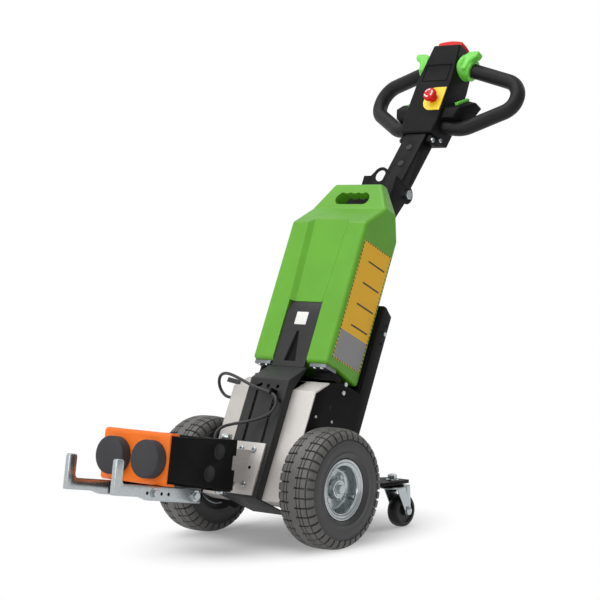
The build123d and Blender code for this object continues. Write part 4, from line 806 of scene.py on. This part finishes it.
class TUG_OT_rims(bpy.types.Operator):
    """Turn the dished rims and fit their bolts and valves"""

    bl_idname = "tug.rims"
    bl_label = "Rims"

    def execute(self, context):
        size = context.scene.tug_sizes.rim_bolt
        for side, sign in SIDES:
            place = wheel_place(side, sign)
            body = f"wheel_{side}"
            rim = turned(RIM, place, RIM_STEPS, ring=True)
            add_piece(rim, f"wheel_rim_{side}", body, "zinc", [f"rim_{side}"], smooth=40)
            bolts = bmesh.new()
            for index in range(DISC_BOLTS):
                turn = Matrix.Rotation(2 * pi * (index + 0.5) / DISC_BOLTS, 4, "Z")
                hex_bolt(bolts, place @ turn @ Matrix.Translation(DISC_BOLT_SPOT), size, *DISC_BOLT_HEAD)
            hex_bolt(bolts, place @ Matrix.Translation(AXLE_NUT_SPOT), *AXLE_NUT)
            turn = VALVE_TURN if sign > 0 else pi - VALVE_TURN
            stem = place @ Matrix.Rotation(turn, 4, "Z") @ Matrix.Translation(VALVE_SPOT)
            join(bolts, turned(VALVE, stem @ Matrix.Rotation(VALVE_LEAN, 4, "Y"), 20))
            add_piece(bolts, f"hub_bolts_{side}", body, "zinc")
        return {"FINISHED"}


# Corners of the battery's label in the leaning frame, in millimetres back and up
LABEL_LOW = (12, 19)
LABEL_HIGH = (117, 300)
BATTERY_SIDE = 109
TONGUE_LABEL = (0, 2, 102)
TONGUE_LABEL_SIZE = (0.033, 0.030)
# Screws under the contact plates, across and back, and a screw's radius and height
CONTACT_SCREWS = [(70, 11), (90, 11)]
CONTACT_FACE = -9
CONTACT_SCREW = (4.5, 3)
# A black triangle at the back of the tongue's pocket: painted shade that stands in for the pocket's dark
# inside
POCKET_SHADE = [(-17, 0), (0, 70), (17, 0)]
POCKET_BACK = 7.5
POCKET_DEPTH = 0.005
POCKET_EDGE = 0.0002


class TUG_OT_battery(bpy.types.Operator):
    """Stick the battery's blank label and fit the contact screws"""

    bl_idname = "tug.battery"
    bl_label = "Battery"

    def execute(self, context):
        sizes = context.scene.tug_sizes
        lift = sizes.label_lift
        self.label(lift)
        wide, tall = TONGUE_LABEL_SIZE
        white = slab(at(LEAN, *TONGUE_LABEL), wide, 2 * lift, tall, lift / 2)
        add_piece(white, "tongue_label", "chassis", "black_powder", skin="white_mark")
        ease("battery_contacts", sizes.cut_edge, skin="worn_steel")
        # The tongue wears the lighter black that carries painted light
        ease("dock_tongue", sizes.cut_edge, skin="satin_black")
        # A black sheet at the back of the tongue's pocket: painted shade for the pocket's dark inside
        pocket_shade = profile(POCKET_SHADE, at(LEAN, 0, POCKET_BACK, 0), POCKET_DEPTH, POCKET_EDGE)
        add_piece(pocket_shade, "tongue_pocket", "chassis", "black_powder")
        screws = bmesh.new()
        for across, back in CONTACT_SCREWS:
            for _, sign in SIDES:
                socket_screw(screws, at(LEAN, sign * across, back, CONTACT_FACE, "down"), *CONTACT_SCREW)
        add_piece(screws, "contact_screws", "chassis", "zinc")
        return {"FINISHED"}

    def label(self, lift):
        """A sheet on the battery's right side, with its own UV map."""
        middle = [(low + high) / 2 for low, high in zip(LABEL_LOW, LABEL_HIGH)]
        wide, tall = ((high - low) * MM for low, high in zip(LABEL_LOW, LABEL_HIGH))
        bm = bmesh.new()
        uv = bm.loops.layers.uv.new("UVMap")
        bmesh.ops.create_grid(bm, x_segments=1, y_segments=1, size=0.5, calc_uvs=True)
        thicken(bm, (0, 0, lift))
        for face in bm.faces:
            for loop in face.loops:
                loop[uv].uv = (loop.vert.co.x + 0.5, loop.vert.co.y + 0.5)
        upright = Matrix(((0, 0, 1, 0), (1, 0, 0, 0), (0, 1, 0, 0), (0, 0, 0, 1)))
        spread = Matrix.Diagonal((wide, tall, 1, 1))
        move(bm, at(LEAN, BATTERY_SIDE, *middle) @ upright @ spread)
        add_piece(bm, "battery_side_label", "chassis", "battery_green", skin="battery_label")


CHASSIS_PLATES = [
    "side_plate_left", "side_plate_right", "motor_cover", "back_plate", "dock_floor", "dock_blocks", "spine",
    "caster_beam", "hitch_bracket", "hitch_pin", "drive_unit",
]
PLATE_SIDE = 119
# Fasteners on the side plates, as places back and up along the lean, in millimetres
PLATE_BOLTS = [(68, -24.5), (68, -44.5), (153, 128)]
PLATE_SCREWS = [(1.3, -124), (57.4, -116)]
PLATE_BOLT_HEIGHT = 0.004
PLATE_SCREW = (3.6, 2)
# Holes in the side plates, as back, up and radius, each drawn as a black dish of painted shade
PLATE_HOLES = [(87, -33.5, 2.5), (43, -89, 7), (153, 148, 3.5), (151, 104, 3.5)]
# Screws in the hitch bracket's face and the spots where it is drilled, drawn as black dishes of painted
# shade, as across and up, and their sizes
BRACKET_SCREWS = [(-18, -225), (18, -225), (-17, -304), (17, -304)]
BRACKET_HOLES = [(-19, -265), (19, -265)]
BRACKET_FACE = -48
BRACKET_SCREW = (7, 4)
BRACKET_HOLE = 3.6
# The plate behind the battery's hand hole: middle, and width, depth, height and rounding
REST_SPOT = (-22, 127.5, 429)
REST_SIZE = (0.140, 0.0028, 0.086, 0.0006)
# The tiller's pivot: spindle, where its heads stand, and a head's corner radius and height
SPINDLE = [(0, -49), (8, -49), (8, 49), (0, 49)]
PIVOT_FACE = 0.048
PIVOT_HEAD = (0.0118, 0.008)
# The cable tie's block and tail and the strap's end, placed and sized as the plate is, with their turns
TIE_SPOT = (27, -51, -92)
TIE_SIZE = (0.0052, 0.021, 0.014, 0.0008)
TAIL_SPOT = (40, -47, -103)
TAIL_SIZE = (0.030, 0.0024, 0.0062, 0.0006)
TAIL_TURN = radians(32)
STRAP_SPOT = (-127, -16, -63)
STRAP_SIZE = (0.040, 0.0022, 0.011, 0.0005)
STRAP_TURN = radians(8)


class TUG_OT_chassis(bpy.types.Operator):
    """Round the chassis plates' edges and fit their bolts, cable tie and strap"""

    bl_idname = "tug.chassis"
    bl_label = "Chassis"

    def execute(self, context):
        sizes = context.scene.tug_sizes
        for node in CHASSIS_PLATES:
            ease(node, sizes.cut_edge)
        # The channel wears the lighter black that carries painted light
        ease("front_channel", sizes.cut_edge, skin="satin_black")
        bolts = bmesh.new()
        hole_shades = bmesh.new()
        for side, sign in SIDES:
            out = sign * PLATE_SIDE
            for back, up in PLATE_BOLTS:
                hex_bolt(bolts, at(LEAN, out, back, up, side), sizes.plate_bolt, PLATE_BOLT_HEIGHT)
            for back, up in PLATE_SCREWS:
                socket_screw(bolts, at(LEAN, out, back, up, side), *PLATE_SCREW)
            # Black dishes of painted shade where the plates are drilled
            for back, up, radius in PLATE_HOLES:
                painted_hole_shade(hole_shades, at(LEAN, out, back, up, side), radius)
        for across, up in BRACKET_SCREWS:
            socket_screw(bolts, at(LEAN, across, BRACKET_FACE, up, "front"), *BRACKET_SCREW)
        # Black dishes of painted shade where the bracket is drilled
        for across, up in BRACKET_HOLES:
            painted_hole_shade(hole_shades, at(LEAN, across, BRACKET_FACE, up, "front"), BRACKET_HOLE)
        add_piece(bolts, "chassis_bolts", "chassis", "zinc")
        add_piece(hole_shades, "chassis_holes", "chassis", "black_powder")
        self.pivot()
        self.tie()
        add_piece(slab(at(LEAN, *REST_SPOT), *REST_SIZE), "battery_rest", "chassis", "black_powder")
        return {"FINISHED"}

    def pivot(self):
        """The tiller's pivot bolt with a hex head at each end."""
        pivot = COLUMN.translation
        bm = turned(SPINDLE, Matrix.Translation(pivot) @ FACING["right"], 32)
        for side, sign in SIDES:
            place = Matrix.Translation(pivot + Vector((sign * PIVOT_FACE, 0, 0))) @ FACING[side]
            hex_bolt(bm, place, *PIVOT_HEAD)
        add_piece(bm, "pivot_bolt", "chassis", "zinc", ["tiller_bolt"])

    def tie(self):
        """The tie that holds the cable to a keyhole of the channel, and the battery's strap end."""
        bm = slab(at(LEAN, *TIE_SPOT), *TIE_SIZE)
        tail = at(LEAN, *TAIL_SPOT) @ Matrix.Rotation(TAIL_TURN, 4, "Y")
        join(bm, slab(tail, *TAIL_SIZE))
        add_piece(bm, "cable_tie", "chassis", "black_powder")
        strap = at(LEAN, *STRAP_SPOT) @ Matrix.Rotation(STRAP_TURN, 4, "Y")
        add_piece(slab(strap, *STRAP_SIZE), "strap_end", "chassis", "cable_jacket")


HITCH_PLATES = ["hitch_arm", "hitch_head", "hook_rail_left", "hook_rail_right"]
HOOK_BARS = ["hook_bar_left", "hook_bar_right"]
# The hook bars' outer face and middle line, and their bolts and the spots where they are drilled ahead of
# the pin, in millimetres; the drilled spots are black dishes of painted shade
BAR_SIDE = 73
BAR_MIDDLE = -67
BAR_BOLTS = (277, 156.5)
BAR_HOLES = (299, 257.5, 237)
BAR_HOLE = 3.4
BAR_BOLT_HEAD = (0.0055, 0.0015)
ARM_SIDE = 93
# The arm's pressed dimples, ahead of the pin and above the middle line, in millimetres
ARM_DIMPLES = [(120, 28), (144, -19)]
DIMPLE = [
    (0, -1.45), (14.2, -1.45), (15.9, -0.4), (16.4, 0.1), (15.8, 0.55), (14.8, 0.5), (13.6, -0.1),
    (11, -1), (0, -1.3),
]
BUFFER = [(0, 0), (38, 0), (39, 1), (39, 22.4), (38.4, 24), (37, 25), (35, 25.2), (0, 25.2)]


class TUG_OT_hitch(bpy.types.Operator):
    """Round the hitch's edges, mould its buffers and fit the hook bolts"""

    bl_idname = "tug.hitch"
    bl_label = "Hitch"

    def execute(self, context):
        sizes = context.scene.tug_sizes
        for node in HITCH_PLATES:
            ease(node, sizes.cut_edge)
        for node in HOOK_BARS:
            ease(node, sizes.bar_edge, segments=3)
        bolts = bmesh.new()
        hole_shades = bmesh.new()
        dimples = bmesh.new()
        for side, sign in SIDES:
            for ahead in BAR_BOLTS:
                place = at(HITCH, sign * BAR_SIDE, -ahead, BAR_MIDDLE, side)
                hex_bolt(bolts, place, sizes.hook_bolt, *BAR_BOLT_HEAD)
            for ahead, up in ARM_DIMPLES:
                join(dimples, turned(DIMPLE, at(HITCH, sign * ARM_SIDE, -ahead, up, side), 40))
            # Black dishes of painted shade where the bars are drilled
            for ahead in BAR_HOLES:
                painted_hole_shade(hole_shades, at(HITCH, sign * BAR_SIDE, -ahead, BAR_MIDDLE, side), BAR_HOLE)
            pad = turned(BUFFER, seat(f"buffer_{side}", HITCH), 72)
            add_piece(pad, f"buffer_pad_{side}", "hitch", "buffer_rubber", [f"buffer_{side}"])
        add_piece(bolts, "hook_bolts", "hitch", "zinc")
        add_piece(hole_shades, "hook_holes", "hitch", "black_powder")
        # The dimples wear the caster rubber, lighter and glossier than the arm's powder: its lighter colour
        # is a painted sheen that brings out their rings
        add_piece(dimples, "arm_dimples", "hitch", "black_powder", skin="caster_rubber")
        return {"FINISHED"}


TILLER_PLATES = ["tiller_column", "head_clamp", "thumb_button_left", "thumb_button_right"]
# A thumb lever's flared drum, as (radius, along), and where it starts and points in the head's frame
LEVER_DRUM = [
    (0, 0), (31, 0), (33.6, 0.8), (35, 3), (35.2, 6.5), (34.2, 10), (31.6, 15), (29, 20), (27.4, 25),
    (26.8, 29), (27, 32.2), (26.4, 33.8), (25, 34.4), (0, 34.4),
]
LEVER_ROOT = (39.6, 37.9, 207.2)
LEVER_AXIS = (0.9563, 0.2033, -0.2103)
# Its paddle, as out from the head's middle and up along the head, in millimetres
LEVER_PADDLE = [
    (48, 187), (48.5, 205), (51, 219), (55, 229), (60.5, 235.5), (68, 237.5), (78, 237.2), (86, 238.5),
    (91.5, 237), (94, 232), (93, 225.5), (88.5, 220.5), (82, 216.5), (76.5, 210), (72, 201), (69, 187),
]
PADDLE_FRONT = 12
PADDLE_DEPTH = 0.022
PADDLE_EDGE = 0.004
LEVER_VOXEL = 0.0014
LEVER_SOFTENING = 20
# The stop button's cap and the section of its white arrows
STOP_CAP = [
    (0, 0), (11, 0), (11, 11), (13, 12), (15.6, 12.6), (16.8, 14), (17, 17), (16.6, 20), (15.2, 22.6),
    (12.6, 24.2), (9, 25), (4, 25.3), (0, 25.3),
]
STOP_ARROW = [(8.4, 24.6), (11.6, 24.2), (11.6, 24.9), (8.4, 25.5)]
STOP_ARROWS = 3
STOP_ARROW_SWEEP = radians(82)
# The belly switch's outer and inner radius round the head's top, and its rise across, in millimetres
PAD_ROUND = 58
PAD_SEAT = 46.3
PAD_CROWN = 5
PAD_SLICES = 14
# Plugs in the column's front, up from the pivot, and bolts in the clamp's sides, as back and up
COLUMN_FRONT = -20
COLUMN_PLUGS = (82, 133)
PLUG = [(0, -2), (8.4, -2), (8.4, 0.5), (7.8, 1.1), (6, 1.3), (0, 0.9)]
CLAMP_SIDE = 46
CLAMP_BOLTS = [(-7.7, 165.4), (15.6, 184.5)]
CLAMP_BOLT = (6, 4)


class TUG_OT_tiller(bpy.types.Operator):
    """Round the tiller's edges, mould its levers and pad, and fit its stop button, plugs and bolts"""

    bl_idname = "tug.tiller"
    bl_label = "Tiller"

    def execute(self, context):
        sizes = context.scene.tug_sizes
        ease("head_housing", sizes.moulded_edge, segments=3)
        for node in TILLER_PLATES:
            ease(node, 2 * sizes.cut_edge)
        for side, sign in SIDES:
            self.lever(side, sign)
        self.pad()
        place = seat("stop_button", HEAD)
        add_piece(turned(STOP_CAP, place, 56), "stop_cap", "tiller", "stop_red", ["stop_button"])
        arrows = repeat(wedge(STOP_ARROW, STOP_ARROW_SWEEP, 10), STOP_ARROWS)
        add_piece(move(arrows, place), "stop_arrows", "tiller", "stop_red", skin="white_mark")
        plugs = bmesh.new()
        for up in COLUMN_PLUGS:
            join(plugs, turned(PLUG, at(COLUMN, 0, COLUMN_FRONT, up, "front"), 32))
        add_piece(plugs, "column_plugs", "tiller", "black_plastic", skin="buffer_rubber")
        bolts = bmesh.new()
        for side, sign in SIDES:
            for back, up in CLAMP_BOLTS:
                socket_screw(bolts, at(COLUMN, sign * CLAMP_SIDE, back, up, side), *CLAMP_BOLT)
        add_piece(bolts, "clamp_bolts", "tiller", "zinc")
        return {"FINISHED"}

    def pad(self):
        """The belly switch, crowned across its outer face."""
        low, high = reach("belly_switch", HEAD)
        bm = move(copied("belly_switch"), HEAD.inverted())
        for index in range(1, PAD_SLICES):
            cut = Vector((low[0] + (high[0] - low[0]) * index / PAD_SLICES, 0, 0)) * MM
            everything = [*bm.verts, *bm.edges, *bm.faces]
            bmesh.ops.bisect_plane(bm, geom=everything, dist=1e-6, plane_co=cut, plane_no=(1, 0, 0))
        middle = Vector((high[1] - PAD_ROUND, high[2] - PAD_ROUND)) * MM
        for vert in bm.verts:
            out = vert.co.yz - middle
            out.x = max(out.x, 0)
            rise = (out.length - PAD_SEAT * MM) / (PAD_ROUND - PAD_SEAT)
            share = 1 - (vert.co.x / MM / high[0]) ** 2
            vert.co.yz += out.normalized() * PAD_CROWN * rise * share
        slot = NODE_SLOT["belly_switch"]
        add_piece(move(bm, HEAD), "belly_switch_crowned", "tiller", slot, ["belly_switch"])

    def lever(self, side, sign):
        """A drum and a paddle blended into one moulding."""
        mirror = Vector((sign, 1, 1))
        aim = (Vector(LEVER_AXIS) * mirror).to_track_quat("Z", "Y").to_matrix().to_4x4()
        root = HEAD @ Matrix.Translation(Vector(LEVER_ROOT) * mirror * MM)
        bm = turned(LEVER_DRUM, root @ aim, 64)
        outline = [(sign * out, up) for out, up in LEVER_PADDLE]
        join(bm, profile(outline, at(HEAD, 0, PADDLE_FRONT, 0), PADDLE_DEPTH, PADDLE_EDGE))
        node = f"thumb_lever_{side}"
        piece = add_piece(bm, f"{node}_moulded", "tiller", NODE_SLOT[node], [node])
        blend = piece.modifiers.new("blend", "REMESH")
        blend.mode = "VOXEL"
        blend.voxel_size = LEVER_VOXEL
        blend.use_smooth_shade = True
        soften = piece.modifiers.new("soften", "SMOOTH")
        soften.factor = 0.5
        soften.iterations = LEVER_SOFTENING


# Sections of a caster: its wheel about the axle, and its race and crown about the swivel
CASTER_TYRE = [
    (5.1, -14), (12, -14), (12.6, -11), (25, -11), (26.4, -14.4), (30, -15), (33.5, -13.6), (35.8, -11),
    (37, -7.2), (37.5, -2.5), (37.5, 2.5), (37, 7.2), (35.8, 11), (33.5, 13.6), (30, 15), (26.4, 14.4),
    (25, 11), (12.6, 11), (12, 14), (5.1, 14),
]
CASTER_RACE = [
    (0, 84.4), (9.5, 84.4), (9.5, 92.4), (6, 92.4), (6, 97), (26.4, 97), (27, 97.6), (27, 98.6), (25, 99.6),
    (19, 100.8), (15, 101.6), (14, 103), (6, 103), (6, 111), (0, 111),
]
CASTER_CROWN = [(26, 92.6), (28.4, 92.6), (29.6, 93.4), (29.8, 94.6), (29, 96), (27.6, 96.6), (26, 96.6)]
CASTER_BOLT_SPOT = (0, 0, 0.111)
CASTER_BOLT = (0.0108, 0.011, 0.0018)


class TUG_OT_casters(bpy.types.Operator):
    """Turn the caster wheels, races and crowns, and round the forks"""

    bl_idname = "tug.casters"
    bl_label = "Casters"

    def execute(self, context):
        sizes = context.scene.tug_sizes
        for side, sign in SIDES:
            mirror = Vector((sign, 1, 1))
            hub = Matrix.Translation(CASTER_HUB * mirror) @ FACING["right"]
            stem = Matrix.Translation(CASTER_SWIVEL * mirror)
            ease(f"caster_fork_{side}", sizes.cut_edge)
            ease(f"caster_axle_{side}", sizes.cut_edge)
            node = f"caster_wheel_{side}"
            tyre = turned(CASTER_TYRE, hub, 64, ring=True)
            roller = f"caster_roller_{side}"
            add_piece(tyre, f"caster_tyre_{side}", roller, NODE_SLOT[node], [node], "caster_rubber")
            node = f"caster_stem_{side}"
            race = turned(CASTER_RACE, stem, 48)
            add_piece(race, f"caster_race_{side}", "chassis", NODE_SLOT[node], [node], "black_powder")
            bolt = bmesh.new()
            hex_bolt(bolt, stem @ Matrix.Translation(CASTER_BOLT_SPOT), *CASTER_BOLT)
            add_piece(bolt, f"caster_bolt_{side}", "chassis", "zinc")
            crown = turned(CASTER_CROWN, stem, 48, ring=True)
            add_piece(crown, f"caster_crown_{side}", f"caster_{side}", "zinc")
        return {"FINISHED"}


STEPS = (
    TUG_OT_stage, TUG_OT_cable, TUG_OT_finishes, TUG_OT_tyres, TUG_OT_rims, TUG_OT_battery, TUG_OT_chassis,
    TUG_OT_hitch, TUG_OT_tiller, TUG_OT_casters,
)


class TUG_PT_finisher(bpy.types.Panel):
    """Lists the steps that finish the tug"""

    bl_idname = "TUG_PT_finisher"
    bl_label = "Battery tug"
    bl_space_type = "VIEW_3D"
    bl_region_type = "UI"
    bl_category = "Tug"

    def draw(self, context):
        for step in STEPS:
            self.layout.operator(step.bl_idname)
        for group in (context.scene.tug_sizes, context.scene.tug_colours):
            for name in group.__annotations__:
                self.layout.prop(group, name)


CLASSES = (TugColours, TugSizes, *STEPS, TUG_PT_finisher)


def register():
    for item in CLASSES:
        bpy.utils.register_class(item)
    bpy.types.Scene.tug_colours = PointerProperty(type=TugColours)
    bpy.types.Scene.tug_sizes = PointerProperty(type=TugSizes)


def unregister():
    del bpy.types.Scene.tug_sizes
    del bpy.types.Scene.tug_colours
    for item in reversed(CLASSES):
        bpy.utils.unregister_class(item)


def main():
    register()
    bpy.ops.tug.stage()
    bpy.ops.tug.cable()
    bpy.ops.tug.finishes()
    bpy.ops.tug.tyres()
    bpy.ops.tug.rims()
    bpy.ops.tug.battery()
    bpy.ops.tug.chassis()
    bpy.ops.tug.hitch()
    bpy.ops.tug.tiller()
    bpy.ops.tug.casters()


if __name__ == "__main__":
    main()
